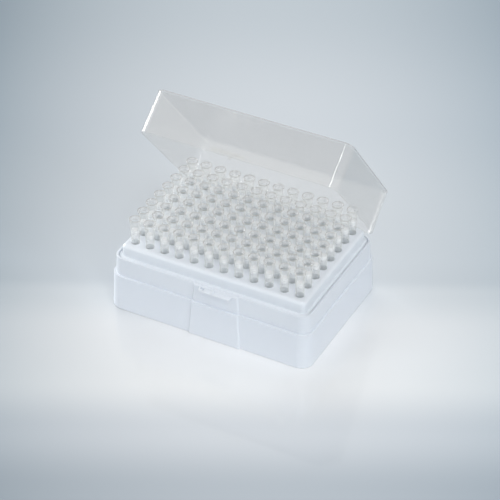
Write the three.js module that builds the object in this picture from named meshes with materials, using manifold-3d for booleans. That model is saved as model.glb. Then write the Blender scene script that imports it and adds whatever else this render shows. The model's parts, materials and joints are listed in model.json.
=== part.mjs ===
// Box of 96 filter pipette tips: a white base with a raised rack of tips and a clear, hinged lid.
// Millimetres, +Z up, +X along the long front. The origin is the middle of the flat underside.
// The lid is built closed and then turned open about its hinge pins.

import * as THREE from 'three';
import { mergeGeometries, mergeVertices } from 'three/addons/utils/BufferGeometryUtils.js';
import Module from 'manifold-3d';

const wasm = await Module();
wasm.setup();

// ---------------------------------------------------------------- driving dimensions

// Tip grid: the standard pattern of a 96-place rack.
const PITCH = 9;
const COLUMNS = 12;
const ROWS = 8;
const LOOSE_ROWS = 2;            // front rows whose tips are pieces of their own

// Fits and running clearances.
const LID_TO_RACK = 0.65;        // lid's inner wall to the foot of the rack's platform
const LID_TO_RIM = 0.55;         // lid's outer wall to the inside of the base's rim
const RACK_TO_RIM = 0.35;        // rack's flange to the inside of the base's rim
const SEAT_GAP = 0.3;            // pieces that rest on each other
const TIP_TO_HOLE = 0.3;         // tip's body to the rim of its hole
const FILTER_TO_BORE = 0.3;      // filter to the bore of its tip
const PIN_TO_HOOK = 0.25;        // hinge pin to the inside of the lid's hook
const HOOK_TO_EAR = 0.3;         // side of a hook to the ear beside it
const SWING_GAP = 0.35;          // hook's outside to the notch that it turns in

// Joined shapes run this far into each other, and cutting shapes this far past what they cut.
const BITE = 0.3;
const PAST = 1;
const SHARPEST = 0.2;            // least radius of a rounded corner

// Rack: plate on a raised platform, with a flange round its foot.
const PLATE_TOP = 39.2;
const PLATE_THICKNESS = 1.6;
const MARGIN_X = 5.75;           // outer tip's axis to the platform's foot
const MARGIN_Y = 6.3;
const PLATFORM_DRAFT = 1.5;      // degrees
const PLATFORM_ROUND = 2.0;      // rounded edge round the plate
const RACK_WALL = 1.5;
const FLANGE_THICKNESS = 1.2;
const FLANGE_BELOW_RIM = 0.5;
const RACK_RIB = 1.0;            // thickness of the ribs under the plate
const RACK_RIB_DROP = 3.4;       // height of the ribs

// Base: a tray with a small ledge half way up.
const RIM_HEIGHT = 32.9;
const RIM_WALL = 1.2;
const RIM_CORNER = 5.0;          // corner radius inside the rim
const LEDGE_HEIGHT = 21.0;
const LEDGE_STEP = 0.75;
const LEDGE_SLOPE = 0.1;         // rise of the ledge towards the wall
const BASE_DRAFT = 1.75;         // degrees, outside
const CAVITY_DRAFT = 0.5;        // degrees, inside
const BASE_FLOOR = 1.8;
const FLOOR_ROUND = 1;           // bevel between the floor and the cavity's walls
const EDGE_ROUND = 0.35;         // small rounding of the base's edges
const SEAT_RIB = 1.4;            // ribs inside the base that carry the rack's flange
const SEAT_RIB_REACH = 1.6;
const SEAT_RIBS_LONG = 6;
const SEAT_RIBS_SHORT = 4;

// Raised panel down the front, wider at the foot.
const PANEL_CENTRE_X = 4.9;
const PANEL_TOP_WIDTH = 25.1;
const PANEL_FOOT_WIDTH = 30.2;
const PANEL_PROUD = 0.66;
const PANEL_BEVEL = 0.9;
const PANEL_BELOW_RIM = 0.9;
const PANEL_TOP_BEVEL = 0.6;

// Thumb tabs: one on the base, one on the lid, side by side about the snap between them.
const SNAP_X = 0.35;             // middle of the overlap of the two tabs
const TAB_WIDTH = 19.4;
const TAB_OVERLAP = 9.6;
const TAB_REACH = 2.3;           // outwards from the panel
const TAB_DROP = 1.25;           // fall of the base's tab to its tip
const TAB_THICKNESS = 1.0;
const TAB_CHAMFER = 1.3;
const TAB_BELOW_RIM = 0.6;
const TAB_EDGE = 0.2;            // small chamfer of the tabs' edges
const SNAP_WALL = 0.85;          // thickness of the raised wall at the snap's end
const SNAP_RISE = 0.7;
const SNAP_LEAD = 0.4;           // slope that leads over the raised wall
const LUG_WIDTH = 1.5;
const LUG_INSET = 1.0;           // lug to the end of the overlap
const TOOTH_WIDTH = 1.5;
const TOOTH_DEPTH = 0.8;
const TOOTH_DROP = 1.75;         // below the underside of the lid's tab
const TOOTH_POINT = 0.5;         // height of the tooth's bevelled point
const TOOTH_GAP = 0.3;
const LID_TAB_RISE = 1.0;
const TAB_OVER_RIM = 0.3;        // lid's tab over the base's rim

// Lid.
const LID_HEIGHT = 25.7;
const LID_WALL = 1.0;
const LID_TOP = 1.2;
const LID_DRAFT = 0.8;           // degrees
const LID_ROUND = 1.2;           // rounded edge round the top
const LID_OPEN = 50.1;           // degrees, as the box stands

// Hinge: hooks of the lid on pins between ears of the base.
const PIN_RADIUS = 1.1;
const PIN_BEHIND_RIM = 0.6;      // pin's axis behind the outside of the rim
const PIN_BELOW_RIM = 1.4;
const HOOK_THICKNESS = 1.1;
const HOOK_WIDTH = 8.4;
const HOOK_MOUTH = 100;          // degrees left open for the pin to snap in
const HINGE_SPACING = 62;
const EAR_THICKNESS = 1.8;
const EAR_REACH = 2.0;           // ear's back edge behind the pin's axis
const EAR_DROP = 2.8;            // ear's foot below the pin's axis
const ARM_SLOPE = 0.6;           // rise of a hook's arm towards the lid's wall

// Tip, with heights measured from the plate.
const TIP_LENGTH = 51;
const TIP_ABOVE_PLATE = 15.4;
const TIP_RIM_RADIUS = 3.3;
const TIP_COLLAR_RADIUS = 3.05;  // below the flared rim
const TIP_COLLAR_HEIGHT = 12.6;
const TIP_BODY_RADIUS = 2.68;
const TIP_BODY_TOP = 10.2;
const TIP_KINK_RADIUS = 1.75;
const TIP_KINK_DROP = 20;        // below the plate
const TIP_END_RADIUS = 0.55;
const TIP_WALL = 0.36;
const TIP_END_WALL = 0.25;
const FILTER_TOP = 8.9;
const FILTER_HEIGHT = 3.7;

// Facets of the round forms.
const TIP_FACETS = 8;
const CORNER_FACETS = 4;
const PIN_FACETS = 12;
const HOOK_FACETS = 14;

// ---------------------------------------------------------------- derived sizes

const tanDegrees = (degrees) => Math.tan(THREE.MathUtils.degToRad(degrees));

const footLength = (COLUMNS - 1) * PITCH + 2 * MARGIN_X;
const footDepth = (ROWS - 1) * PITCH + 2 * MARGIN_Y;
const lidInset = LID_TO_RACK + LID_WALL;            // platform's foot to the lid's outside
const rimInset = lidInset + LID_TO_RIM;             // platform's foot to the rim's inside
const flangeTop = RIM_HEIGHT - FLANGE_BELOW_RIM;
const flangeFoot = flangeTop - FLANGE_THICKNESS;
const lidFoot = flangeTop + SEAT_GAP;
const plateFoot = PLATE_TOP - PLATE_THICKNESS;
const tipFoot = PLATE_TOP + TIP_ABOVE_PLATE - TIP_LENGTH;
const bodyBore = TIP_BODY_RADIUS - TIP_WALL;
const filterRadius = bodyBore - FILTER_TO_BORE;
const holeRadius = TIP_BODY_RADIUS + TIP_TO_HOLE;

const rimOutsideY = footDepth / 2 + rimInset + RIM_WALL;
const hingeY = rimOutsideY + PIN_BEHIND_RIM;
const hingeZ = RIM_HEIGHT - PIN_BELOW_RIM;
const hookRadius = PIN_RADIUS + PIN_TO_HOOK + HOOK_THICKNESS;
const notchWidth = HOOK_WIDTH + 2 * HOOK_TO_EAR;
const hingeStations = [-HINGE_SPACING / 2, HINGE_SPACING / 2];

// Outline of the base's outside at a height, above or below the ledge.
function baseOutline(z, grow = 0) {
  const draft = tanDegrees(BASE_DRAFT);
  const below = z < LEDGE_HEIGHT ? LEDGE_STEP : 0;
  const beyondFoot = rimInset + RIM_WALL + draft * (RIM_HEIGHT - z) + below + grow;
  return {
    z,
    length: footLength + 2 * beyondFoot,
    depth: footDepth + 2 * beyondFoot,
    radius: RIM_CORNER + RIM_WALL + below + grow,
  };
}

// ---------------------------------------------------------------- geometry helpers

// Anticlockwise points of a rounded rectangle about the Z axis.
function roundedRectangle(length, depth, roundness) {
  const radius = Math.max(roundness, SHARPEST);
  const points = [];
  for (let quarter = 0; quarter < 4; quarter++) {
    const sideX = quarter === 0 || quarter === 3 ? 1 : -1;
    const sideY = quarter < 2 ? 1 : -1;
    for (let step = 0; step <= CORNER_FACETS; step++) {
      const angle = (quarter + step / CORNER_FACETS) * Math.PI / 2;
      points.push([
        sideX * (length / 2 - radius) + radius * Math.cos(angle),
        sideY * (depth / 2 - radius) + radius * Math.sin(angle),
      ]);
    }
  }
  return points;
}

// Closed body through level outlines that all have the same number of convex points.
function loft(levels) {
  const count = levels[0].points.length;
  const positions = levels.flatMap(({ z, points }) => points.flatMap(([x, y]) => [x, y, z]));
  const faces = [];
  for (let level = 0; level + 1 < levels.length; level++) {
    for (let point = 0; point < count; point++) {
      const next = (point + 1) % count;
      const low = level * count;
      const high = low + count;
      faces.push(low + point, low + next, high + next, low + point, high + next, high + point);
    }
  }
  const top = (levels.length - 1) * count;
  for (let point = 1; point + 1 < count; point++) {
    faces.push(0, point + 1, point, top, top + point, top + point + 1);
  }
  const geometry = new THREE.BufferGeometry();
  geometry.setAttribute('position', new THREE.Float32BufferAttribute(positions, 3));
  geometry.setIndex(faces);
  return geometry;
}

const roundedLoft = (levels) => loft(levels.map(({ z, length, depth, radius }) => (
  { z, points: roundedRectangle(length, depth, radius) })));

// Box between two corners.
function block([x0, y0, z0], [x1, y1, z1]) {
  const geometry = new THREE.BoxGeometry(x1 - x0, y1 - y0, z1 - z0);
  return geometry.translate((x0 + x1) / 2, (y0 + y1) / 2, (z0 + z1) / 2);
}

// Profile of [y, z] points extruded along X.
function barAlongX(profile, x0, x1) {
  const shape = new THREE.Shape(profile.map(([y, z]) => new THREE.Vector2(y, z)));
  const geometry = new THREE.ExtrudeGeometry(shape, { depth: x1 - x0, bevelEnabled: false });
  const toRow = new THREE.Matrix4().makeBasis(
    new THREE.Vector3(0, 1, 0), new THREE.Vector3(0, 0, 1), new THREE.Vector3(1, 0, 0));
  return geometry.applyMatrix4(toRow).translate(x0, 0, 0);
}

// Profile of [radius, height] points turned about the Z axis.
function revolve(profile, facets = TIP_FACETS) {
  const points = profile.map(([radius, height]) => new THREE.Vector2(radius, height));
  return new THREE.LatheGeometry(points, facets).rotateX(Math.PI / 2);
}

// Welds shared corners and drops the slivers that meet the axis.
function weld(geometry) {
  const bare = new THREE.BufferGeometry();
  bare.setAttribute('position', geometry.getAttribute('position').clone());
  if (geometry.index) bare.setIndex(geometry.index.clone());
  const welded = mergeVertices(bare, 1e-4);
  const kept = [];
  for (let corner = 0; corner < welded.index.count; corner += 3) {
    const [a, b, c] = [0, 1, 2].map((offset) => welded.index.getX(corner + offset));
    if (a !== b && b !== c && c !== a) kept.push(a, b, c);
  }
  welded.setIndex(kept);
  return welded;
}

function toSolid(geometry) {
  const welded = weld(geometry);
  return new wasm.Manifold(new wasm.Mesh({
    numProp: 3,
    vertProperties: new Float32Array(welded.attributes.position.array),
    triVerts: new Uint32Array(welded.index.array),
  }));
}

function toGeometry(solid) {
  const { vertProperties, triVerts } = solid.getMesh();
  const geometry = new THREE.BufferGeometry();
  geometry.setAttribute('position', new THREE.Float32BufferAttribute(vertProperties, 3));
  geometry.setIndex([...triVerts]);
  return geometry;
}

const join = (solid, ...geometries) => geometries.reduce(
  (sum, next) => sum.add(toSolid(next)), solid);
const cut = (solid, ...geometries) => geometries.reduce(
  (rest, next) => rest.subtract(toSolid(next)), solid);

// Copies of one geometry at a list of [x, y, z] places, as one geometry.
const copies = (geometry, places) => mergeGeometries(
  places.map(([x, y, z]) => geometry.clone().translate(x, y, z)));

// Evenly spaced values from one end to the other, both included.
const spread = (count, from, to) => Array.from({ length: count }, (_, index) => (
  count === 1 ? (from + to) / 2 : from + (to - from) * index / (count - 1)));

// Arc of [y, z] points about a centre, in degrees from +Y towards +Z.
function arc([y, z], radius, from, to, steps) {
  return spread(steps + 1, from, to).map((degrees) => {
    const angle = THREE.MathUtils.degToRad(degrees);
    return [y + radius * Math.cos(angle), z + radius * Math.sin(angle)];
  });
}

// ---------------------------------------------------------------- tip grid

// Place of a well: column 1 is at the left, row A at the back.
const wellX = (column) => (column - (COLUMNS - 1) / 2) * PITCH;
const wellY = (row) => ((ROWS - 1) / 2 - row) * PITCH;

const wells = [];
for (let row = 0; row < ROWS; row++) {
  for (let column = 0; column < COLUMNS; column++) {
    wells.push({
      name: `${String.fromCharCode(65 + row)}${column + 1}`,
      place: [wellX(column), wellY(row), PLATE_TOP],
      loose: row >= ROWS - LOOSE_ROWS,
    });
  }
}
const looseWells = wells.filter(({ loose }) => loose);
const fusedPlaces = wells.filter(({ loose }) => !loose).map(({ place }) => place);
const loosePlaces = looseWells.map(({ place }) => place);

// ---------------------------------------------------------------- tips and filters

const tipEnd = tipFoot - PLATE_TOP;

// Outside of a tip as [radius, height above the plate], from its end up to its flared rim.
// The simple one leaves out the collar and the change of taper.
const tipOutside = (simple) => [
  [TIP_END_RADIUS, tipEnd],
  ...(simple ? [] : [[TIP_KINK_RADIUS, -TIP_KINK_DROP]]),
  [TIP_BODY_RADIUS, -PLATE_THICKNESS],
  [TIP_BODY_RADIUS, TIP_BODY_TOP],
  ...(simple ? [] : [[TIP_COLLAR_RADIUS, TIP_COLLAR_HEIGHT]]),
  [TIP_RIM_RADIUS, TIP_ABOVE_PLATE],
];

// Bore, from the rim down. It holds the filter and narrows below it.
const tipMouth = [TIP_RIM_RADIUS - TIP_WALL, TIP_ABOVE_PLATE];
const tipInside = [
  tipMouth,
  [bodyBore, TIP_BODY_TOP],
  [bodyBore, FILTER_TOP - FILTER_HEIGHT],
  [TIP_END_RADIUS - TIP_END_WALL, tipEnd],
];

const tipGeometry = weld(revolve([...tipOutside(false), ...tipInside, tipOutside(false)[0]]));

const filterGeometry = weld(new THREE.CylinderGeometry(
  filterRadius, filterRadius, FILTER_HEIGHT, TIP_FACETS).rotateX(Math.PI / 2));

// ---------------------------------------------------------------- rack

function rackSolid() {
  const platform = (z, inset) => {
    const drafted = inset + tanDegrees(PLATFORM_DRAFT) * Math.max(z - flangeTop, 0);
    return {
      z,
      length: footLength - 2 * drafted,
      depth: footDepth - 2 * drafted,
      radius: RIM_CORNER - rimInset - inset,
    };
  };
  const roundFoot = PLATE_TOP - PLATFORM_ROUND;
  const rounded = [30, 60, 90].map((degrees) => {
    const angle = THREE.MathUtils.degToRad(degrees);
    const inset = PLATFORM_ROUND * (1 - Math.cos(angle));
    return platform(roundFoot + PLATFORM_ROUND * Math.sin(angle), inset);
  });
  const flange = (z) => ({
    z,
    length: footLength + 2 * (rimInset - RACK_TO_RIM),
    depth: footDepth + 2 * (rimInset - RACK_TO_RIM),
    radius: RIM_CORNER - RACK_TO_RIM,
  });

  let solid = toSolid(roundedLoft([flange(flangeFoot), flange(flangeTop)]));
  solid = join(solid, roundedLoft([platform(flangeFoot, 0), platform(roundFoot, 0), ...rounded]));
  const hollow = [platform(flangeFoot - PAST, RACK_WALL), platform(plateFoot, RACK_WALL)];
  solid = cut(solid, roundedLoft(hollow));

  // Ribs under the plate, between the rows.
  const ribFoot = plateFoot - RACK_RIB_DROP;
  const ribEnd = footLength / 2 - RACK_WALL + BITE;
  for (let row = 0; row + 1 < ROWS; row++) {
    const y0 = wellY(row) - (PITCH + RACK_RIB) / 2;
    solid = join(solid, block([-ribEnd, y0, ribFoot], [ribEnd, y0 + RACK_RIB, plateFoot + BITE]));
  }

  // Wells of the loose tips, and the back rows' tips as part of the rack.
  const holeFoot = -PLATE_THICKNESS - PAST;
  const hole = revolve([[0, holeFoot], [holeRadius, holeFoot], [holeRadius, PAST], [0, PAST]]);
  if (loosePlaces.length) solid = cut(solid, copies(hole, loosePlaces));
  if (fusedPlaces.length) {
    const outside = revolve([[0, tipEnd], ...tipOutside(true), [0, TIP_ABOVE_PLATE]]);
    const mouth = revolve([[0, FILTER_TOP], [bodyBore, FILTER_TOP], tipMouth, [0, TIP_ABOVE_PLATE]]);
    solid = join(solid, copies(outside, fusedPlaces));
    solid = cut(solid, copies(mouth, fusedPlaces));
  }

  // Relief in the flange for the lid's hooks.
  const reliefY = hingeY - hookRadius - SWING_GAP;
  for (const x of hingeStations) {
    solid = cut(solid, block(
      [x - notchWidth / 2, reliefY, flangeFoot - PAST],
      [x + notchWidth / 2, hingeY, flangeTop + PAST],
    ));
  }
  return solid;
}

// ---------------------------------------------------------------- base

// Front face of the raised panel at a height, and the base's thumb tab that leans out of it.
const panelY = (z) => -(baseOutline(z).depth / 2 + PANEL_PROUD);
const baseTabFrom = SNAP_X - TAB_OVERLAP / 2;
const baseTabTo = baseTabFrom + TAB_WIDTH;
const tabRootZ = RIM_HEIGHT - TAB_BELOW_RIM;
const tabTipY = panelY(tabRootZ) - TAB_REACH;
const tabTipZ = tabRootZ - TAB_DROP;

// Tooth of the lid, which snaps into a hole of the base's tab.
const toothX = baseTabFrom + SNAP_WALL + TOOTH_GAP;
const toothY = tabTipY + SNAP_WALL + TOOTH_GAP;

// Lug of the base's tab, which stands in a slot of the lid's tab.
const lugTo = baseTabFrom + TAB_OVERLAP - LUG_INSET;
const lugFrom = lugTo - LUG_WIDTH;

function baseTab() {
  const rootY = panelY(tabRootZ) + PANEL_PROUD + RIM_WALL / 2;
  const slope = TAB_DROP / (rootY - tabTipY);
  const surface = (y) => tabRootZ - slope * (rootY - y);
  const edgeY = tabTipY + TAB_EDGE;
  const tongue = [
    [rootY, tabRootZ],
    [edgeY, surface(edgeY)],
    [tabTipY, tabTipZ - TAB_EDGE],
    [tabTipY, tabTipZ - TAB_THICKNESS + TAB_EDGE],
    [edgeY, tabTipZ - TAB_THICKNESS],
    [rootY, tabRootZ - TAB_THICKNESS],
  ];
  let solid = toSolid(barAlongX(tongue, baseTabFrom, baseTabTo));

  // Chamfered end, away from the snap.
  const chamfer = new THREE.Shape([
    new THREE.Vector2(baseTabTo - TAB_CHAMFER, tabTipY),
    new THREE.Vector2(baseTabTo, tabTipY - PAST),
    new THREE.Vector2(baseTabTo + PAST, tabTipY + TAB_REACH),
    new THREE.Vector2(baseTabTo, tabTipY + TAB_REACH),
  ]);
  const tabFoot = tabTipZ - TAB_THICKNESS - PAST;
  const chamferDepth = { depth: RIM_HEIGHT - tabFoot, bevelEnabled: false };
  solid = cut(solid, new THREE.ExtrudeGeometry(chamfer, chamferDepth).translate(0, 0, tabFoot));

  // Raised wall round the snap's end, and the lug at the overlap's other end.
  const raised = (y) => [y, surface(y) + SNAP_RISE];
  const sunk = (y) => [y, surface(y) - TAB_THICKNESS / 2];
  const wallTo = (y) => [
    sunk(edgeY), sunk(y), raised(y), raised(edgeY + SNAP_LEAD), [edgeY, surface(edgeY)],
  ];
  const panelFoot = tabTipY + TAB_REACH + PANEL_PROUD / 2;
  solid = join(
    solid,
    barAlongX(wallTo(panelFoot), baseTabFrom, baseTabFrom + SNAP_WALL),
    barAlongX(wallTo(tabTipY + SNAP_WALL), baseTabFrom, toothX + TOOTH_WIDTH),
    barAlongX(wallTo(panelFoot), lugFrom, lugTo),
  );
  return cut(solid, block(
    [toothX - TOOTH_GAP, toothY - TOOTH_GAP, tabFoot],
    [toothX + TOOTH_WIDTH + TOOTH_GAP, toothY + TOOTH_DEPTH + TOOTH_GAP, RIM_HEIGHT],
  ));
}

function baseSolid() {
  let solid = toSolid(roundedLoft([
    baseOutline(0, -EDGE_ROUND),
    { ...baseOutline(0), z: EDGE_ROUND },
    baseOutline(LEDGE_HEIGHT - EDGE_ROUND),
    { ...baseOutline(LEDGE_HEIGHT - EDGE_ROUND, -EDGE_ROUND), z: LEDGE_HEIGHT },
    { ...baseOutline(LEDGE_HEIGHT), z: LEDGE_HEIGHT + LEDGE_SLOPE },
    baseOutline(RIM_HEIGHT - EDGE_ROUND),
    baseOutline(RIM_HEIGHT, -EDGE_ROUND),
  ]));

  // Raised front panel, following the draft and the ledge.
  const panelSlope = (PANEL_FOOT_WIDTH - PANEL_TOP_WIDTH) / RIM_HEIGHT;
  const panelRoot = RIM_WALL / 2;
  const panelLevel = (z, outline, proud = PANEL_PROUD) => {
    const half = (PANEL_FOOT_WIDTH - panelSlope * z) / 2;
    const rootHalf = half + PANEL_BEVEL * (PANEL_PROUD + panelRoot) / PANEL_PROUD;
    const wall = -outline.depth / 2;
    return {
      z,
      points: [
        [PANEL_CENTRE_X - half, wall - proud],
        [PANEL_CENTRE_X + half, wall - proud],
        [PANEL_CENTRE_X + rootHalf, wall + panelRoot],
        [PANEL_CENTRE_X - rootHalf, wall + panelRoot],
      ],
    };
  };
  const panelTop = RIM_HEIGHT - PANEL_BELOW_RIM;
  const underLedge = LEDGE_HEIGHT - EDGE_ROUND;
  const bevelTop = panelTop + PANEL_TOP_BEVEL;
  solid = join(solid, loft([
    panelLevel(0, baseOutline(0, -EDGE_ROUND)),
    panelLevel(EDGE_ROUND, baseOutline(EDGE_ROUND)),
    panelLevel(underLedge, baseOutline(underLedge)),
    panelLevel(LEDGE_HEIGHT, baseOutline(underLedge, -EDGE_ROUND)),
    panelLevel(LEDGE_HEIGHT + LEDGE_SLOPE, baseOutline(LEDGE_HEIGHT)),
    panelLevel(panelTop, baseOutline(panelTop)),
    panelLevel(bevelTop, baseOutline(bevelTop), -BITE),
  ]));
  solid = solid.add(baseTab());

  // Cavity, leaning in a little towards the floor.
  const cavity = (z, inset = 0) => {
    const beyondFoot = rimInset - tanDegrees(CAVITY_DRAFT) * (RIM_HEIGHT - z) - inset;
    return {
      z,
      length: footLength + 2 * beyondFoot,
      depth: footDepth + 2 * beyondFoot,
      radius: RIM_CORNER - inset,
    };
  };
  solid = cut(solid, roundedLoft([
    cavity(BASE_FLOOR, FLOOR_ROUND),
    cavity(BASE_FLOOR + FLOOR_ROUND),
    { ...cavity(RIM_HEIGHT), z: RIM_HEIGHT + PAST },
  ]));

  // Ribs that carry the rack's flange, along the walls.
  const seatTop = flangeFoot - SEAT_GAP;
  const ribFoot = BASE_FLOOR - BITE;
  const ribEndX = wellX(COLUMNS - 1) - SEAT_RIB;
  const ribEndY = wellY(0) - SEAT_RIB;
  for (const side of [-1, 1]) {
    const wallX = side * (footLength / 2 + rimInset);
    const wallY = side * (footDepth / 2 + rimInset);
    for (const x of spread(SEAT_RIBS_LONG, -ribEndX, ribEndX)) {
      const ends = [wallY + side * BITE, wallY - side * SEAT_RIB_REACH];
      solid = join(solid, block(
        [x - SEAT_RIB / 2, Math.min(...ends), ribFoot],
        [x + SEAT_RIB / 2, Math.max(...ends), seatTop],
      ));
    }
    for (const y of spread(SEAT_RIBS_SHORT, -ribEndY, ribEndY)) {
      const ends = [wallX + side * BITE, wallX - side * SEAT_RIB_REACH];
      solid = join(solid, block(
        [Math.min(...ends), y - SEAT_RIB / 2, ribFoot],
        [Math.max(...ends), y + SEAT_RIB / 2, seatTop],
      ));
    }
  }

  // Hinge stations: a notch in the rim between two ears, and the pin across it.
  const notchFoot = hingeZ - hookRadius - SWING_GAP;
  const earRoot = rimOutsideY - RIM_WALL / 2;
  const earBack = hingeY + EAR_REACH;
  const ear = [
    [earRoot, hingeZ - EAR_DROP],
    [hingeY, hingeZ - EAR_DROP],
    [earBack, hingeZ - EAR_REACH / 2],
    [earBack, RIM_HEIGHT - EDGE_ROUND],
    [earBack - EDGE_ROUND, RIM_HEIGHT],
    [earRoot, RIM_HEIGHT],
  ];
  const pin = arc([hingeY, hingeZ], PIN_RADIUS, 0, 360 - 360 / PIN_FACETS, PIN_FACETS - 1);
  for (const x of hingeStations) {
    const left = x - notchWidth / 2;
    const right = x + notchWidth / 2;
    solid = cut(solid, block(
      [left, hingeY - hookRadius - PAST, notchFoot],
      [right, earBack + PAST, RIM_HEIGHT + PAST],
    ));
    solid = join(
      solid,
      barAlongX(ear, left - EAR_THICKNESS, left),
      barAlongX(ear, right, right + EAR_THICKNESS),
      barAlongX(pin, left - EAR_THICKNESS / 2, right + EAR_THICKNESS / 2),
    );
  }
  return solid;
}

// ---------------------------------------------------------------- lid, closed

function lidSolid() {
  const wall = (rise, inset) => {
    const drafted = inset + tanDegrees(LID_DRAFT) * rise;
    return {
      z: lidFoot + rise,
      length: footLength + 2 * (lidInset - drafted),
      depth: footDepth + 2 * (lidInset - drafted),
      radius: RIM_CORNER - LID_TO_RIM - inset,
    };
  };
  const shoulder = LID_HEIGHT - LID_ROUND;
  const rounded = [45, 90].map((degrees) => {
    const angle = THREE.MathUtils.degToRad(degrees);
    return wall(shoulder + LID_ROUND * Math.sin(angle), LID_ROUND * (1 - Math.cos(angle)));
  });
  let solid = toSolid(roundedLoft([wall(0, 0), wall(shoulder, 0), ...rounded]));

  // Thumb tab over the base's rim, bent up at its tip.
  const tabRoot = -(footDepth / 2 + lidInset) + LID_WALL / 2;
  const tabFoot = RIM_HEIGHT + TAB_OVER_RIM;
  const tabTop = tabFoot + TAB_THICKNESS;
  const bendY = -(rimOutsideY + PANEL_PROUD);
  const lidTabTo = baseTabFrom + TAB_OVERLAP;
  const tongue = [
    [tabRoot, tabFoot],
    [tabRoot, tabTop],
    [bendY, tabTop],
    [tabTipY + TAB_EDGE, tabTop + LID_TAB_RISE],
    [tabTipY, tabTop + LID_TAB_RISE - TAB_EDGE],
    [tabTipY, tabFoot + LID_TAB_RISE],
    [bendY, tabFoot],
  ];
  solid = join(solid, barAlongX(tongue, lidTabTo - TAB_WIDTH, lidTabTo));

  // Its tooth, and the slot that clears the lug of the base's tab.
  const toothFoot = tabFoot - TOOTH_DROP;
  const tooth = [
    [toothY, toothFoot + TOOTH_POINT],
    [toothY + TOOTH_DEPTH / 2, toothFoot],
    [toothY + TOOTH_DEPTH, tabFoot + BITE],
    [toothY, tabTop],
  ];
  solid = join(solid, barAlongX(tooth, toothX, toothX + TOOTH_WIDTH));
  solid = cut(solid, block(
    [lugFrom - TOOTH_GAP, tabTipY - PAST, tabFoot - PAST],
    [lugTo + TOOTH_GAP, tabTipY + TAB_REACH / 2, tabTop + LID_TAB_RISE + PAST],
  ));

  // Arms and snap hooks of the hinge: each hook is open below for its pin.
  const pinAxis = [hingeY, hingeZ];
  const mouthFrom = -90 - HOOK_MOUTH / 2;
  const mouthTo = -90 + HOOK_MOUTH / 2;
  const hook = [
    ...arc(pinAxis, hookRadius, mouthTo, mouthFrom + 360, HOOK_FACETS),
    ...arc(pinAxis, PIN_RADIUS + PIN_TO_HOOK, mouthFrom + 360, mouthTo, HOOK_FACETS),
  ];
  const armTop = hingeZ + hookRadius;
  const armFoot = Math.max(lidFoot, hingeZ + PIN_RADIUS + PIN_TO_HOOK);
  const armRoot = footDepth / 2 + lidInset - LID_WALL / 2;
  const arm = [
    [armRoot, armFoot],
    [hingeY, armFoot],
    [hingeY, armTop],
    [armRoot, armTop + ARM_SLOPE],
  ];
  for (const x of hingeStations) {
    const left = x - HOOK_WIDTH / 2;
    const right = x + HOOK_WIDTH / 2;
    solid = join(solid, barAlongX(hook, left, right), barAlongX(arm, left, right));
  }

  // Hollow, open below.
  return cut(solid, roundedLoft([
    { ...wall(0, LID_WALL), z: lidFoot - PAST },
    wall(LID_HEIGHT - LID_TOP, LID_WALL),
  ]));
}

// ---------------------------------------------------------------- materials and pieces

const whitePlastic = (color, roughness) => new THREE.MeshStandardMaterial({
  color, roughness, metalness: 0,
});
const clearPlastic = (color, roughness, opacity) => new THREE.MeshStandardMaterial({
  color, roughness, metalness: 0, opacity, transparent: true,
});

function piece(name, geometry, material) {
  const mesh = new THREE.Mesh(geometry, material);
  mesh.name = name;
  return mesh;
}

const tipBox = new THREE.Group();
tipBox.add(
  piece('base', toGeometry(baseSolid()), whitePlastic(0xd6dfea, 0.4)),
  piece('rack', toGeometry(rackSolid()), whitePlastic(0xdfe6ef, 0.4)),
);

for (const { name, place: [x, y, z] } of looseWells) {
  const tip = piece(`tip_${name}`, tipGeometry, clearPlastic(0xe4e8e8, 0.25, 0.4));
  tip.position.set(x, y, z);
  const filter = piece(`filter_${name}`, filterGeometry, whitePlastic(0xf4f6f7, 0.9));
  filter.position.set(x, y, z + FILTER_TOP - FILTER_HEIGHT / 2);
  tipBox.add(tip, filter);
}

// The lid turns about the pins' axis.
const lidAboutPins = toGeometry(lidSolid()).translate(0, -hingeY, -hingeZ);
const hinge = new THREE.Group();
hinge.position.set(0, hingeY, hingeZ);
hinge.rotation.x = -THREE.MathUtils.degToRad(LID_OPEN);
hinge.add(piece('lid', lidAboutPins, clearPlastic(0xd2d6d8, 0.15, 0.35)));
tipBox.add(hinge);

export default tipBox;
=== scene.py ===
"""Visual model of a box of filter pipette tips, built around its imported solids.

The white base, the rack, 96 clear tips, their filters and the clear lid are worked out here as
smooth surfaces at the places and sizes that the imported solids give. Lengths are written in
millimetres and turned into metres as a mesh is made. +X runs along the long front, +Y towards
the hinge and +Z up.
"""

import json
import logging
import math
from dataclasses import dataclass
from enum import Enum

import bpy
import numpy as np
from mathutils import Matrix, Vector

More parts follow.
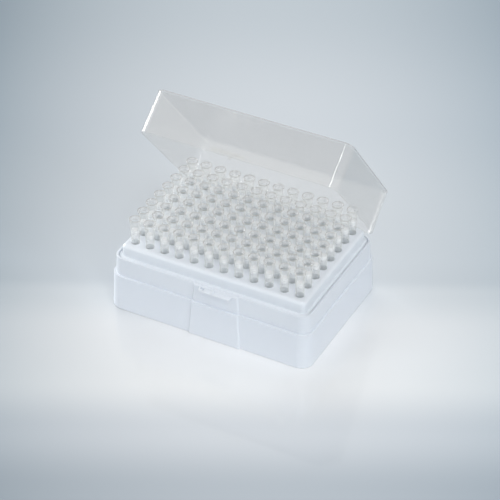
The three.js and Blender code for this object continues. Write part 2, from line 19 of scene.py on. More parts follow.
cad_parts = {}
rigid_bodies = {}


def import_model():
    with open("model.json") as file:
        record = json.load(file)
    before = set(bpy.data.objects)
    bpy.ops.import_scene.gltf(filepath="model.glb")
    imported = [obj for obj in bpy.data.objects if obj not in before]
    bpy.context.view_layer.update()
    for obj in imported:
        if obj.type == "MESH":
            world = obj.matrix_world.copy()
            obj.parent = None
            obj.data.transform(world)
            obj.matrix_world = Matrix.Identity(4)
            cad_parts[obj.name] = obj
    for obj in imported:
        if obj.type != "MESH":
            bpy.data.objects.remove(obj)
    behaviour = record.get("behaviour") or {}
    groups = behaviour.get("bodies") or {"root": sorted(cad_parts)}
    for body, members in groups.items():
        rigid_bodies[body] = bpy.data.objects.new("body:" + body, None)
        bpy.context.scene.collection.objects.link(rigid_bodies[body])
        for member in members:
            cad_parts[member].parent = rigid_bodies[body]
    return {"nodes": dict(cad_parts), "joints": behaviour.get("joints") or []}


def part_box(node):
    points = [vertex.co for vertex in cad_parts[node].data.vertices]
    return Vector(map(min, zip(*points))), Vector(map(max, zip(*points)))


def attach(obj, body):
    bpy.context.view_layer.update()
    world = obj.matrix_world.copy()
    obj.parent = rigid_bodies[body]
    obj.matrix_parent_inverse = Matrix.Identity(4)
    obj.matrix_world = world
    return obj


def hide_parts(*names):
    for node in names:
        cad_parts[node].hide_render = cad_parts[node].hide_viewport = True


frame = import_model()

LOG = logging.getLogger("tip_box")
MM = 0.001
ROW_LETTERS = "ABCDEFGH"
PLASTIC_IOR = 1.49
WHITE = (1.0, 1.0, 1.0, 1.0)
BOUNCES = {
    "transparent_max_bounces": 96,
    "max_bounces": 64,
    "transmission_bounces": 48,
    "glossy_bounces": 16,
}

Socket = bpy.types.NodeSocket
Rgba = tuple[float, float, float, float]
Ends = tuple[float | Socket, float | Socket]


class Body(Enum):
    """The two bodies of the box that move against each other."""

    BOX = "box"
    LID = "lid"


class Slot(Enum):
    """The record's material slots."""

    BASE = "white_base"
    RACK = "white_rack"
    LID = "clear_lid"
    TIP = "clear_tip"
    FILTER = "white_filter"


# ---------------------------------------------------------------- surfaces


# Turns of an outline below this many radians count as straight.
STRAIGHT = 1e-4


def tan_degrees(angle: float) -> float:
    """Tangent of an angle in degrees."""
    return math.tan(math.radians(angle))


def filleted(corners: list[tuple[float, float, float]], steps: int = 4) -> np.ndarray:
    """Open outline with round corners.

    A corner of radius r is replaced by the circular arc of that radius that touches both of its
    sides. Its ends lie r * tan(turn / 2) from the corner, where turn is the change of direction.

    Args:
        corners: Points as (x, y, radius). A radius of 0 keeps the corner sharp.
        steps: Segments of each arc.

    Returns:
        Array of points, one row for each.
    """
    given = np.array([corner[:2] for corner in corners], float)
    rows = [given[:1]]
    for index in range(1, len(corners) - 1):
        radius = corners[index][2]
        point = given[index]
        back = given[index - 1] - point
        ahead = given[index + 1] - point
        back /= np.linalg.norm(back)
        ahead /= np.linalg.norm(ahead)
        opening = math.acos(float(np.clip(back @ ahead, -1, 1)))
        if radius <= 0 or math.pi - opening < STRAIGHT:
            rows.append(point[None])
            continue
        middle = back + ahead
        centre = point + middle / np.linalg.norm(middle) * radius / math.sin(opening / 2)
        start = point + back * radius / math.tan(opening / 2) - centre
        end = point + ahead * radius / math.tan(opening / 2) - centre
        share = np.linspace(0, 1, steps + 1)[:, None]
        turn = math.pi - opening
        arc = (np.sin((1 - share) * turn) * start + np.sin(share * turn) * end) / math.sin(turn)
        rows.append(centre + arc)
    rows.append(given[-1:])
    return np.concatenate(rows)


@dataclass
class Shell:
    """Faces and corners of a surface in millimetres, before it becomes a mesh."""

    points: np.ndarray
    faces: list[list[int]]

    def moved(self, x: float = 0, y: float = 0, z: float = 0) -> "Shell":
        """A copy of the shell at another place."""
        return Shell(self.points + np.array([x, y, z]), self.faces)

    @staticmethod
    def joined(shells: list["Shell"]) -> "Shell":
        """Several shells as one, with each face list shifted past the points before it.

        Args:
            shells: The shells.

        Returns:
            The joined shell.
        """
        faces: list[list[int]] = []
        start = 0
        for shell in shells:
            faces += [[corner + start for corner in face] for face in shell.faces]
            start += len(shell.points)
        return Shell(np.concatenate([shell.points for shell in shells]), faces)


def grid_faces(rows: int, columns: int, closed_rows: bool = False) -> np.ndarray:
    """Quads of a grid whose columns close on themselves.

    Args:
        rows: Number of rows of points.
        columns: Number of points in each row.
        closed_rows: Whether the last row joins the first one.

    Returns:
        Array of quads, each with four point numbers.
    """
    low = np.arange(rows if closed_rows else rows - 1)[:, None]
    high = (low + 1) % rows
    left = np.arange(columns)[None]
    right = (left + 1) % columns
    corners = [
        low * columns + left, low * columns + right, high * columns + right, high * columns + left,
    ]
    return np.stack(corners, axis=-1).reshape(-1, 4)


def capped_faces(rows: int, columns: int) -> list[list[int]]:
    """Quads of such a grid, and a flat cap on its first row and on its last.

    Args:
        rows: Number of rows of points.
        columns: Number of points in each row.

    Returns:
        List of faces, each with its point numbers.
    """
    last = (rows - 1) * columns
    caps = [list(range(columns))[::-1], list(range(last, last + columns))]
    return grid_faces(rows, columns).tolist() + caps


def lathe(profile: np.ndarray, facets: int) -> Shell:
    """Surface of revolution about +Z, closed through its profile.

    A point at angle a is (r * cos a, r * sin a, z) for the profile's radius r and height z. The
    last profile point joins the first one, so the surface is a ring without poles.

    Args:
        profile: Rows of radius and height, anticlockwise as seen with the axis at the left.
        facets: Number of copies of the profile round the axis.

    Returns:
        The closed shell.
    """
    angle = np.linspace(0, 2 * math.pi, facets, endpoint=False)
    radius, height = profile[:, :1], profile[:, 1:]
    points = np.stack([radius * np.cos(angle), radius * np.sin(angle), height + 0 * angle], axis=-1)
    return Shell(points.reshape(-1, 3), grid_faces(len(profile), facets, closed_rows=True).tolist())


def turned(profile: np.ndarray, facets: int) -> Shell:
    """Solid of revolution about +Z whose first and last rows are closed by flat caps.

    Args:
        profile: Rows of radius and height from the foot up, none on the axis.
        facets: Number of copies of the profile round the axis.

    Returns:
        The closed shell.
    """
    return Shell(lathe(profile, facets).points, capped_faces(len(profile), facets))


def extruded(profile: np.ndarray, start: float, end: float) -> Shell:
    """Prism along X over a closed outline.

    Args:
        profile: Rows of y and z, anticlockwise as seen from +X.
        start: X of the first end.
        end: X of the other end, further along +X.

    Returns:
        The closed shell.
    """
    count = len(profile)
    ends = [np.column_stack([np.full(count, x), profile]) for x in (start, end)]
    return Shell(np.concatenate(ends), capped_faces(2, count))


def block(low: tuple[float, float, float], high: tuple[float, float, float]) -> Shell:
    """Cuboid between two corners, as a prism along X."""
    (left, front, foot), (right, back, top) = low, high
    return extruded(np.array([[front, foot], [back, foot], [back, top], [front, top]]), left, right)


@dataclass(frozen=True)
class Ribbon:
    """Extra columns across the front of a loft, with what they stand out from it.

    Attributes:
        x: X of each column at each level, one row for each level.
        proud: Distance outwards of the same points.
    """

    x: np.ndarray
    proud: np.ndarray


def loft(levels: np.ndarray, corner_steps: int, ribbon: Ribbon | None = None) -> Shell:
    """Closed body through rounded rectangles, one above another.

    A corner's point at angle a is its arc's centre plus radius * (cos a, sin a). The first and
    the last level are closed by flat caps.

    Args:
        levels: Rows of height, half length, half depth and corner radius.
        corner_steps: Segments of each corner's arc.
        ribbon: Further columns between the two front corners.

    Returns:
        The closed shell.
    """
    height, half_x, half_y, radius = (levels[:, [column]] for column in range(4))
    quarter = np.repeat(np.arange(4), corner_steps + 1)
    angle = (quarter + np.tile(np.linspace(0, 1, corner_steps + 1), 4)) * math.pi / 2
    side_x = np.where((quarter == 0) | (quarter == 3), 1, -1)
    side_y = np.where(quarter < 2, 1, -1)
    x = side_x * (half_x - radius) + radius * np.cos(angle)
    y = side_y * (half_y - radius) + radius * np.sin(angle)
    if ribbon is not None:
        front = 3 * (corner_steps + 1)
        x = np.concatenate([x[:, :front], ribbon.x, x[:, front:]], axis=1)
        y = np.concatenate([y[:, :front], -half_y - ribbon.proud, y[:, front:]], axis=1)
    points = np.stack([x, y, height + 0 * x], axis=-1)
    return Shell(points.reshape(-1, 3), capped_faces(*x.shape))


# ---------------------------------------------------------------- meshes


def new_object(name: str, shell: Shell) -> bpy.types.Object:
    """Object at the origin whose mesh holds the shell in metres.

    Args:
        name: The object's name.
        shell: Its surface in millimetres.

    Returns:
        The object.
    """
    mesh = bpy.data.meshes.new(name)
    mesh.from_pydata((shell.points * MM).tolist(), [], shell.faces)
    mesh.validate()
    thing = bpy.data.objects.new(name, mesh)
    bpy.context.scene.collection.objects.link(thing)
    return thing


def discard(thing: bpy.types.Object) -> None:
    """Removes an object and its mesh."""
    mesh = thing.data
    bpy.data.objects.remove(thing)
    bpy.data.meshes.remove(mesh)


def apply_modifiers(thing: bpy.types.Object) -> None:
    """Bakes an object's modifiers into its mesh.

    Args:
        thing: The object.
    """
    graph = bpy.context.evaluated_depsgraph_get()
    graph.update()
    mesh = bpy.data.meshes.new_from_object(thing.evaluated_get(graph))
    old = thing.data
    thing.modifiers.clear()
    thing.data = mesh
    bpy.data.meshes.remove(old)


def bevelled(shell: Shell, width: float, segments: int = 2, sharp_angle: float = 30.0) -> Shell:
    """A closed shell with its sharp edges rounded off.

    Args:
        shell: The sharp shell.
        width: Width of the rounded edge in millimetres.
        segments: Facets across each rounded edge.
        sharp_angle: Edges that turn more than this many degrees are rounded.

    Returns:
        The rounded shell.
    """
    thing = new_object("sharp", shell)
    bevel = thing.modifiers.new("edges", "BEVEL")
    bevel.width = width * MM
    bevel.segments = segments
    bevel.limit_method = "ANGLE"
    bevel.angle_limit = math.radians(sharp_angle)
    bevel.use_clamp_overlap = True
    apply_modifiers(thing)
    mesh = thing.data
    points = np.empty(len(mesh.vertices) * 3)
    mesh.vertices.foreach_get("co", points)
    faces = [list(face.vertices) for face in mesh.polygons]
    discard(thing)
    return Shell(points.reshape(-1, 3) / MM, faces)


def combine(thing: bpy.types.Object, shells: list[Shell], operation: str) -> None:
    """Joins or cuts an object with closed shells.

    Args:
        thing: The object to change.
        shells: Closed shells that don't overlap one another.
        operation: UNION or DIFFERENCE.
    """
    tool = new_object("tool", Shell.joined(shells))
    change = thing.modifiers.new("combine", "BOOLEAN")
    change.operation = operation
    change.solver = "EXACT"
    change.object = tool
    apply_modifiers(thing)
    discard(tool)


def finish_piece(
    thing: bpy.types.Object,
    material: bpy.types.Material,
    body: Body,
    replaced: list[str],
    sharp_angle: float = 28.0,
) -> bpy.types.Object:
    """Shades a piece, dresses it and puts it on its body.

    Args:
        thing: The piece.
        material: Its finish.
        body: The body that it moves with.
        replaced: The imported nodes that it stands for.
        sharp_angle: Edges that turn more than this many degrees stay sharp.

    Returns:
        The piece.
    """
    mesh = thing.data
    slots = np.zeros(len(mesh.polygons), int)
    mesh.polygons.foreach_get("material_index", slots)
    mesh.materials.clear()
    mesh.materials.append(material)
    mesh.polygons.foreach_set("material_index", slots)
    mesh.polygons.foreach_set("use_smooth", np.ones(len(mesh.polygons), bool))
    mesh.set_sharp_from_angle(angle=math.radians(sharp_angle))
    if replaced:
        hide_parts(*replaced)
    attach(thing, body.value)
    LOG.info("%s: %d faces", thing.name, len(mesh.polygons))
    return thing


def even_shading(thing: bpy.types.Object) -> None:
    """Lets large flat faces set the normals of the round edges beside them.

    Args:
        thing: The piece.
    """
    weighted = thing.modifiers.new("even shading", "WEIGHTED_NORMAL")
    weighted.mode = "FACE_AREA"
    weighted.weight = 50
    weighted.keep_sharp = True


# ---------------------------------------------------------------- finishes


class Nodes:
    """Small wrapper that adds and links shader nodes."""

    def __init__(self, tree: bpy.types.NodeTree) -> None:
        """Starts on an empty tree."""
        self.tree = tree
        tree.nodes.clear()

    def add(
        self, kind: str, inputs: dict[str | int, object] | None = None, **settings: object
    ) -> bpy.types.Node:
        """Adds a node.

        Args:
            kind: The node's type, without its ShaderNode prefix.
            inputs: Values or output sockets for its inputs, by name or number.
            settings: Properties of the node.

        Returns:
            The node.
        """
        node = self.tree.nodes.new(f"ShaderNode{kind}")
        for name, value in settings.items():
            setattr(node, name, value)
        for key, value in (inputs or {}).items():
            if isinstance(value, Socket):
                self.tree.links.new(value, node.inputs[key])
            else:
                node.inputs[key].default_value = value
        return node

    def maths(self, operation: str, *values: object) -> Socket:
        """Result of a Math node on numbers or sockets."""
        return self.add("Math", dict(enumerate(values)), operation=operation).outputs["Value"]

    def vectors(self, operation: str, *values: object) -> Socket:
        """Result of a Vector Math node on vectors or sockets."""
        made = self.add("VectorMath", dict(enumerate(values)), operation=operation)
        return made.outputs["Vector"]

    def ranged(
        self, value: Socket, source: Ends = (0.0, 1.0), result: Ends = (0.0, 1.0),
        **settings: object,
    ) -> Socket:
        """Value carried over from one range to another.

        Args:
            value: The value.
            source: Ends of the range that it comes from.
            result: Ends of the range that it goes to, as numbers or sockets.
            settings: Properties of the node.

        Returns:
            The socket of the result, held between the ends.
        """
        return self.add("MapRange", {
            "Value": value, "From Min": source[0], "From Max": source[1],
            "To Min": result[0], "To Max": result[1],
        }, **settings).outputs["Result"]

    def blend(self, share: Socket, first: object, second: object) -> Socket:
        """Colour between two colours, with a share of the second."""
        inputs = {"Factor": share, "A": first, "B": second}
        return self.add("Mix", inputs, data_type="RGBA").outputs["Result"]

    def mixed(
        self, share: object, first: bpy.types.Node, second: bpy.types.Node
    ) -> bpy.types.Node:
        """Mix of two shaders, with a share of the second."""
        return self.add("MixShader", {0: share, 1: first.outputs[0], 2: second.outputs[0]})

    def upward(self, vector: Socket) -> Socket:
        """Z of a vector."""
        return self.add("SeparateXYZ", {0: vector}).outputs["Z"]

    def facing(self) -> Socket:
        """1 less the cosine of the angle between the surface and the line of sight."""
        return self.add("LayerWeight", {"Blend": 0.5}).outputs["Facing"]


def new_material(name: str) -> tuple[bpy.types.Material, Nodes]:
    """Empty material and the wrapper of its nodes.

    Args:
        name: The material's name.

    Returns:
        Both of them.
    """
    material = bpy.data.materials.new(name)
    material.use_nodes = True
    return material, Nodes(material.node_tree)


def colour(red: int, green: int, blue: int) -> Rgba:
    """Linear colour of three display values, by the standard display curve.

    Args:
        red: Display value from 0 to 255.
        green: The same for green.
        blue: The same for blue.

    Returns:
        Linear red, green and blue, and 1 for opaque.
    """
    share = np.array([red, green, blue]) / 255
    linear = np.where(share <= 0.04045, share / 12.92, ((share + 0.055) / 1.055) ** 2.4)
    return (*linear.tolist(), 1.0)


class MouldedGrain:
    """Node group of the fine orange-peel skin and the faint cloudiness of moulded plastic."""

    name = "moulded_grain"
    sockets = (
        ("Light", "INPUT", "Color"),
        ("Deep", "INPUT", "Color"),
        ("Least Roughness", "INPUT", "Float"),
        ("Most Roughness", "INPUT", "Float"),
        ("Color", "OUTPUT", "Color"),
        ("Roughness", "OUTPUT", "Float"),
        ("Height", "OUTPUT", "Float"),
    )
    cloud = {"Scale": 28.0, "Detail": 3.0, "Roughness": 0.55}
    cloud_ends = (0.3, 0.7)
    peel = {"Scale": 1400.0, "Detail": 2.0, "Roughness": 0.5}

    def group(self) -> bpy.types.NodeTree:
        """The group, built the first time that it is asked for.

        Returns:
            Its node tree.
        """
        found = bpy.data.node_groups.get(self.name)
        if found:
            return found
        tree = bpy.data.node_groups.new(self.name, "ShaderNodeTree")
        for name, way, kind in self.sockets:
            tree.interface.new_socket(name, in_out=way, socket_type=f"NodeSocket{kind}")
        nodes = Nodes(tree)
        given = tree.nodes.new("NodeGroupInput").outputs
        result = tree.nodes.new("NodeGroupOutput").inputs
        place = nodes.add("TexCoord").outputs["Object"]
        cloud = nodes.add("TexNoise", {"Vector": place, **self.cloud}).outputs["Fac"]
        peel = nodes.add("TexNoise", {"Vector": place, **self.peel}).outputs["Fac"]
        roughness = (given["Least Roughness"], given["Most Roughness"])
        for name, socket in (
            ("Color", nodes.blend(cloud, given["Light"], given["Deep"])),
            ("Roughness", nodes.ranged(cloud, self.cloud_ends, roughness)),
            ("Height", peel),
        ):
            tree.links.new(socket, result[name])
        return tree


@dataclass(frozen=True)
class Grain:
    """Values of the moulded grain on one finish.

    Attributes:
        light: The paler of its two colours.
        deep: The deeper one.
        least_roughness: Roughness of its smoothest places.
        most_roughness: Roughness of its dullest ones.
        skin: Height of the skin at full strength, in millimetres.
    """

    light: Rgba
    deep: Rgba
    least_roughness: float
    most_roughness: float
    skin: float = 0.02

    def place(self, nodes: Nodes, bump: float) -> dict[str, Socket]:
        """Adds the shared group and the bump of its skin to a material.

        Args:
            nodes: The material's nodes.
            bump: Strength of the skin.

        Returns:
            What feeds the surface, by the names of its inputs.
        """
        group = nodes.tree.nodes.new("ShaderNodeGroup")
        group.node_tree = MouldedGrain().group()
        for name, value in (
            ("Light", self.light),
            ("Deep", self.deep),
            ("Least Roughness", self.least_roughness),
            ("Most Roughness", self.most_roughness),
        ):
            group.inputs[name].default_value = value
        skin = nodes.add("Bump", {
            "Strength": bump, "Distance": self.skin * MM, "Height": group.outputs["Height"],
        })
        return {
            "Base Color": group.outputs["Color"],
            "Roughness": group.outputs["Roughness"],
            "Normal": skin.outputs["Normal"],
        }


@dataclass(frozen=True)
class WhitePlastic:
    """Satin white polypropylene with the faint skin of its mould.

    Attributes:
        name: The material's name.
        grain: Its colour and roughness.
        bump: Strength of the moulded skin.
        inward: Share of the light that goes into it.
        depth: How far that light goes, in millimetres.
    """

    name: str
    grain: Grain
    bump: float = 0.02
    inward: float = 0.3
    depth: float = 2.5

    def material(self) -> bpy.types.Material:
        """The finish as a material.

        Returns:
            The material.
        """
        material, nodes = new_material(self.name)
        surface = nodes.add("BsdfPrincipled", {
            **self.grain.place(nodes, self.bump),
            "IOR": PLASTIC_IOR,
            "Subsurface Weight": self.inward,
            "Subsurface Radius": (1, 1, 1),
            "Subsurface Scale": self.depth * MM,
        })
        nodes.add("OutputMaterial", {"Surface": surface.outputs["BSDF"]})
        return material


@dataclass(frozen=True)
class ClearPlastic:
    """Clear polypropylene: thin walls with a haze that is densest where they are seen edge on.

    With f the share 1 - cos of the angle between the surface and the line of sight, the haze
    goes from face_on to edge_on as f to the power bend, and its colour from the grain's to edge.
    The reflection goes from least_mirror to most_mirror as f to the fifth power. Lamps shine
    through. Above a given height a rim takes painted shade, a darker ring at its lip, and painted
    light, a pale fill where the inside of its flare faces upwards.

    Attributes:
        name: The material's name.
        grain: The haze's colour and roughness where it is seen face on.
        edge: Its colour where it is seen edge on.
        tint: What the light that goes straight through is multiplied by.
        face_on: Share of the light that a surface scatters when it is seen face on.
        edge_on: The same where it is seen edge on.
        bend: How late the haze gets denser towards the edge.
        polish: Roughness of the reflections.
        rim_top: Height of the rim's top in millimetres, or None.
        lip: Share of painted shade, a darker ring, that the rim's lip takes.
        lip_height: Height of the lip.
        lip_ramp: Height over which that painted shade sets in.
        lip_painted_shade: Its colour.
        mouth: Share of painted light, a pale fill, that the flare takes where it faces upwards.
        mouth_height: Height of that part of the flare.
        mouth_ramp: Height over which that painted light sets in.
        mouth_slope: Z of the normal over which the flare begins to face upwards.
        mouth_painted_light: Its colour.
        least_mirror: Share that a surface reflects when it is seen face on.
        most_mirror: The same where it is seen edge on.
        passed: Share of the lamps' light that a surface lets through.
        through: Share of the haze that scatters the light onwards instead of back.
        bump: Strength of the moulded skin.
    """

    name: str
    grain: Grain
    edge: Rgba
    tint: Rgba
    face_on: float
    edge_on: float
    bend: float
    polish: float
    rim_top: float | None = None
    lip: float = 0.6
    lip_height: float = 0.5
    lip_ramp: float = 0.15
    lip_painted_shade: Rgba = colour(188, 188, 184)
    mouth: float = 0.3
    mouth_height: float = 3.0
    mouth_ramp: float = 0.8
    mouth_slope: Ends = (0.02, 0.07)
    mouth_painted_light: Rgba = colour(228, 230, 231)
    least_mirror: float = 0.04
    most_mirror: float = 1.0
    passed: float = 0.985
    through: float = 0.0
    bump: float = 0.03

    def rim(self, nodes: Nodes, wall: bpy.types.Node) -> bpy.types.Node:
        """Lays painted light on the rim's mouth and painted shade on its lip over a wall.

        Args:
            nodes: The material's nodes.
            wall: The shader of the wall.

        Returns:
            The shader of the wall with its rim.
        """
        height = nodes.upward(nodes.add("TexCoord").outputs["Object"])
        slope = nodes.upward(nodes.add("NewGeometry").outputs["Normal"])

        def band(drop: float, ramp: float, share: float) -> Socket:
            """Zero further than drop below the rim's top, and a share once above the ramp."""
            start = self.rim_top - drop
            return nodes.ranged(height, (start * MM, (start + ramp) * MM), (0.0, share))

        # Painted light: a pale fill where the inside of the flare faces upwards, lightening the
        # view down the tip.
        mouth = nodes.maths(
            "MULTIPLY", band(self.mouth_height, self.mouth_ramp, self.mouth),
            nodes.ranged(slope, self.mouth_slope),
        )
        # Painted shade: a darker ring over the top of the rim's lip.
        lip = band(self.lip_height, self.lip_ramp, self.lip)
        for share, tone in ((mouth, self.mouth_painted_light), (lip, self.lip_painted_shade)):
            wall = nodes.mixed(share, wall, nodes.add("BsdfDiffuse", {"Color": tone}))
        return wall

    def material(self) -> bpy.types.Material:
        """The finish as a material.

        Returns:
            The material.
        """
        material, nodes = new_material(self.name)
        skin = self.grain.place(nodes, self.bump)
        facing = nodes.facing()
        rise = nodes.maths("POWER", facing, self.bend)
        tone = nodes.blend(rise, skin["Base Color"], self.edge)
        haze = nodes.add("BsdfPrincipled", {**skin, "Base Color": tone, "IOR": PLASTIC_IOR})
        if self.through:
            onwards = nodes.add("BsdfTranslucent", {"Color": tone})
            haze = nodes.mixed(self.through, haze, onwards)
        density = nodes.ranged(rise, result=(self.face_on, self.edge_on))
        surface = nodes.mixed(density, nodes.add("BsdfTransparent", {"Color": self.tint}), haze)
        if self.rim_top is not None:
            surface = self.rim(nodes, surface)
        fifth = nodes.maths("POWER", facing, 5.0)
        shine = nodes.ranged(fifth, result=(self.least_mirror, self.most_mirror))
        front = nodes.maths("SUBTRACT", 1.0, nodes.add("NewGeometry").outputs["Backfacing"])
        gloss = nodes.add("BsdfGlossy", {
            "Color": WHITE, "Roughness": self.polish, "Normal": skin["Normal"],
        })
        surface = nodes.mixed(nodes.maths("MULTIPLY", shine, front), surface, gloss)
        path = nodes.add("LightPath")
        passing = nodes.add("BsdfTransparent", {"Color": (*[self.passed] * 3, 1)})
        for ray in ("Is Diffuse Ray", "Is Shadow Ray"):
            surface = nodes.mixed(path.outputs[ray], surface, passing)
        nodes.add("OutputMaterial", {"Surface": surface.outputs["Shader"]})
        return material


@dataclass(frozen=True)
class FilterFelt:
    """Sintered white polyethylene of the filters, matt and finely porous, with painted shade.

    Down its side the colour swings between light and ring as a sine of the height, painted shade
    in rings. Its top end, which faces upwards, takes the colour end, painted shade. The pits of its
    pores are painted darker, as shade.

    Attributes:
        name: The material's name.
        light: Colour between the pores.
        deep: Colour in the pores, painted shade in their pits.
        ring: Colour of the rings, painted shade.
        end: Colour of the top end, painted shade.
        ring_pitch: Distance between two rings in millimetres.
        ring_start: Value of the sine where a ring sets in.
        pore_scale: Scale of the pores, in cells to the metre.
        pore_ends: Distances from a cell's middle between which deep turns into light.
        pore_depth: Depth of the pores at full strength, in millimetres.
        end_slope: Z of the normal over which a face begins to count as an end.
        bump: Strength of the pores' relief.
        roughness: Roughness of the surface.
    """

    name: str = "sintered_filter"
    light: Rgba = colour(252, 253, 254)
    deep: Rgba = colour(236, 240, 243)
    ring: Rgba = colour(212, 218, 222)
    end: Rgba = colour(234, 237, 239)
    ring_pitch: float = 1.15
    ring_start: float = 0.35
    pore_scale: float = 4200.0
    pore_ends: Ends = (0.1, 0.7)
    pore_depth: float = 0.05
    end_slope: Ends = (0.8, 0.97)
    bump: float = 0.4
    roughness: float = 0.9

    def material(self) -> bpy.types.Material:
        """The finish as a material.

        Returns:
            The material.
        """
        material, nodes = new_material(self.name)
        place = nodes.add("TexCoord").outputs["Object"]
        voronoi = nodes.add("TexVoronoi", {"Vector": place, "Scale": self.pore_scale})
        pores = voronoi.outputs["Distance"]
        # Painted shade: the pits of the pores are darker.
        pore_shaded = nodes.blend(nodes.ranged(pores, self.pore_ends), self.deep, self.light)
        turn = 2 * math.pi / (self.ring_pitch * MM)
        wave = nodes.maths("SINE", nodes.maths("MULTIPLY", nodes.upward(place), turn))
        # Painted shade: darker rings down the side.
        ring_shaded = nodes.blend(nodes.ranged(wave, (self.ring_start, 1.0)), pore_shaded, self.ring)
        slope = nodes.upward(nodes.add("NewGeometry").outputs["Normal"])
        # Painted shade: the upward-facing top end is greyer.
        top_shaded = nodes.blend(nodes.ranged(slope, self.end_slope), ring_shaded, self.end)
        relief = nodes.add("Bump", {
            "Strength": self.bump, "Distance": self.pore_depth * MM, "Height": pores,
        })
        surface = nodes.add("BsdfPrincipled", {
            "Base Color": top_shaded, "Roughness": self.roughness, "Normal": relief.outputs["Normal"],
        })
        nodes.add("OutputMaterial", {"Surface": surface.outputs["BSDF"]})
        return material


# ---------------------------------------------------------------- places in the frame


@dataclass(frozen=True)
class Layout:
    """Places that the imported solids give, in millimetres.

    Attributes:
        columns: Tips along X.
        rows: Rows of tips, A at the back.
        first: Axis of tip G1.
        pitch: Distance between neighbouring tips.
        tip_foot: Height of the tips' ends.
        tip_top: Height of the tips' rims.
        filter_foot: Height of the filters' undersides.
        filter_top: Height of the filters' tops.
        rim_top: Height of the base's rim.
        foot_x: Half length of the base at its foot.
        foot_y: Half depth of the base at its foot.
        flange_x: Half length of the rack's flange.
        flange_y: Half depth of the rack's flange.
        hinge: Y and Z of the hinge's axis.
        open_angle: How far the lid stands open, in radians.
        plate_top: Height of the rack's plate.
        hinge_spacing: Distance between the two hinges' middles.
    """

    columns: int
    rows: int
    first: tuple[float, float]
    pitch: float
    tip_foot: float
    tip_top: float
    filter_foot: float
    filter_top: float
    rim_top: float
    foot_x: float
    foot_y: float
    flange_x: float
    flange_y: float
    hinge: tuple[float, float]
    open_angle: float
    plate_top: float = 39.2
    hinge_spacing: float = 62.0

    @property
    def hinge_places(self) -> tuple[float, float]:
        """X of the middle of each hinge."""
        return -self.hinge_spacing / 2, self.hinge_spacing / 2

    @staticmethod
    def corners(node: str) -> tuple[np.ndarray, np.ndarray]:
        """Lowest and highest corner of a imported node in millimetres."""
        low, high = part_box(node)
        return np.array(low) / MM, np.array(high) / MM

    @classmethod
    def from_frame(cls) -> "Layout":
        """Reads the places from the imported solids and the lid's joint.

        Returns:
            The layout.
        """
        base_low, base_high = cls.corners("base")
        _, rack_high = cls.corners("rack")
        low, high = cls.corners("tip_G1")
        next_low, next_high = cls.corners("tip_G2")
        filter_low, filter_high = cls.corners("filter_G1")
        columns = sum(name.startswith("tip_G") for name in frame["nodes"])
        joint = frame["joints"][0]
        axis = (low + high) / 2
        return cls(
            columns=columns,
            rows=len(ROW_LETTERS),
            first=(axis[0], axis[1]),
            pitch=(next_low + next_high)[0] / 2 - axis[0],
            tip_foot=low[2],
            tip_top=high[2],
            filter_foot=filter_low[2],
            filter_top=filter_high[2],
            rim_top=base_high[2],
            foot_x=base_high[0],
            foot_y=base_high[0] - rack_high[0] + rack_high[1],
            flange_x=rack_high[0],
            flange_y=rack_high[1],
            hinge=(joint["pos_m"][1] / MM, joint["pos_m"][2] / MM),
            open_angle=math.radians(-joint["range_deg"][0]),
        )

    def axis(self, row: int, column: int) -> tuple[float, float]:
        """X and Y of a tip's axis. Row 0 is A at the back, and column 0 is at the left."""
        rows_back = ROW_LETTERS.index("G") - row
        return self.first[0] + column * self.pitch, self.first[1] + rows_back * self.pitch


# ---------------------------------------------------------------- base


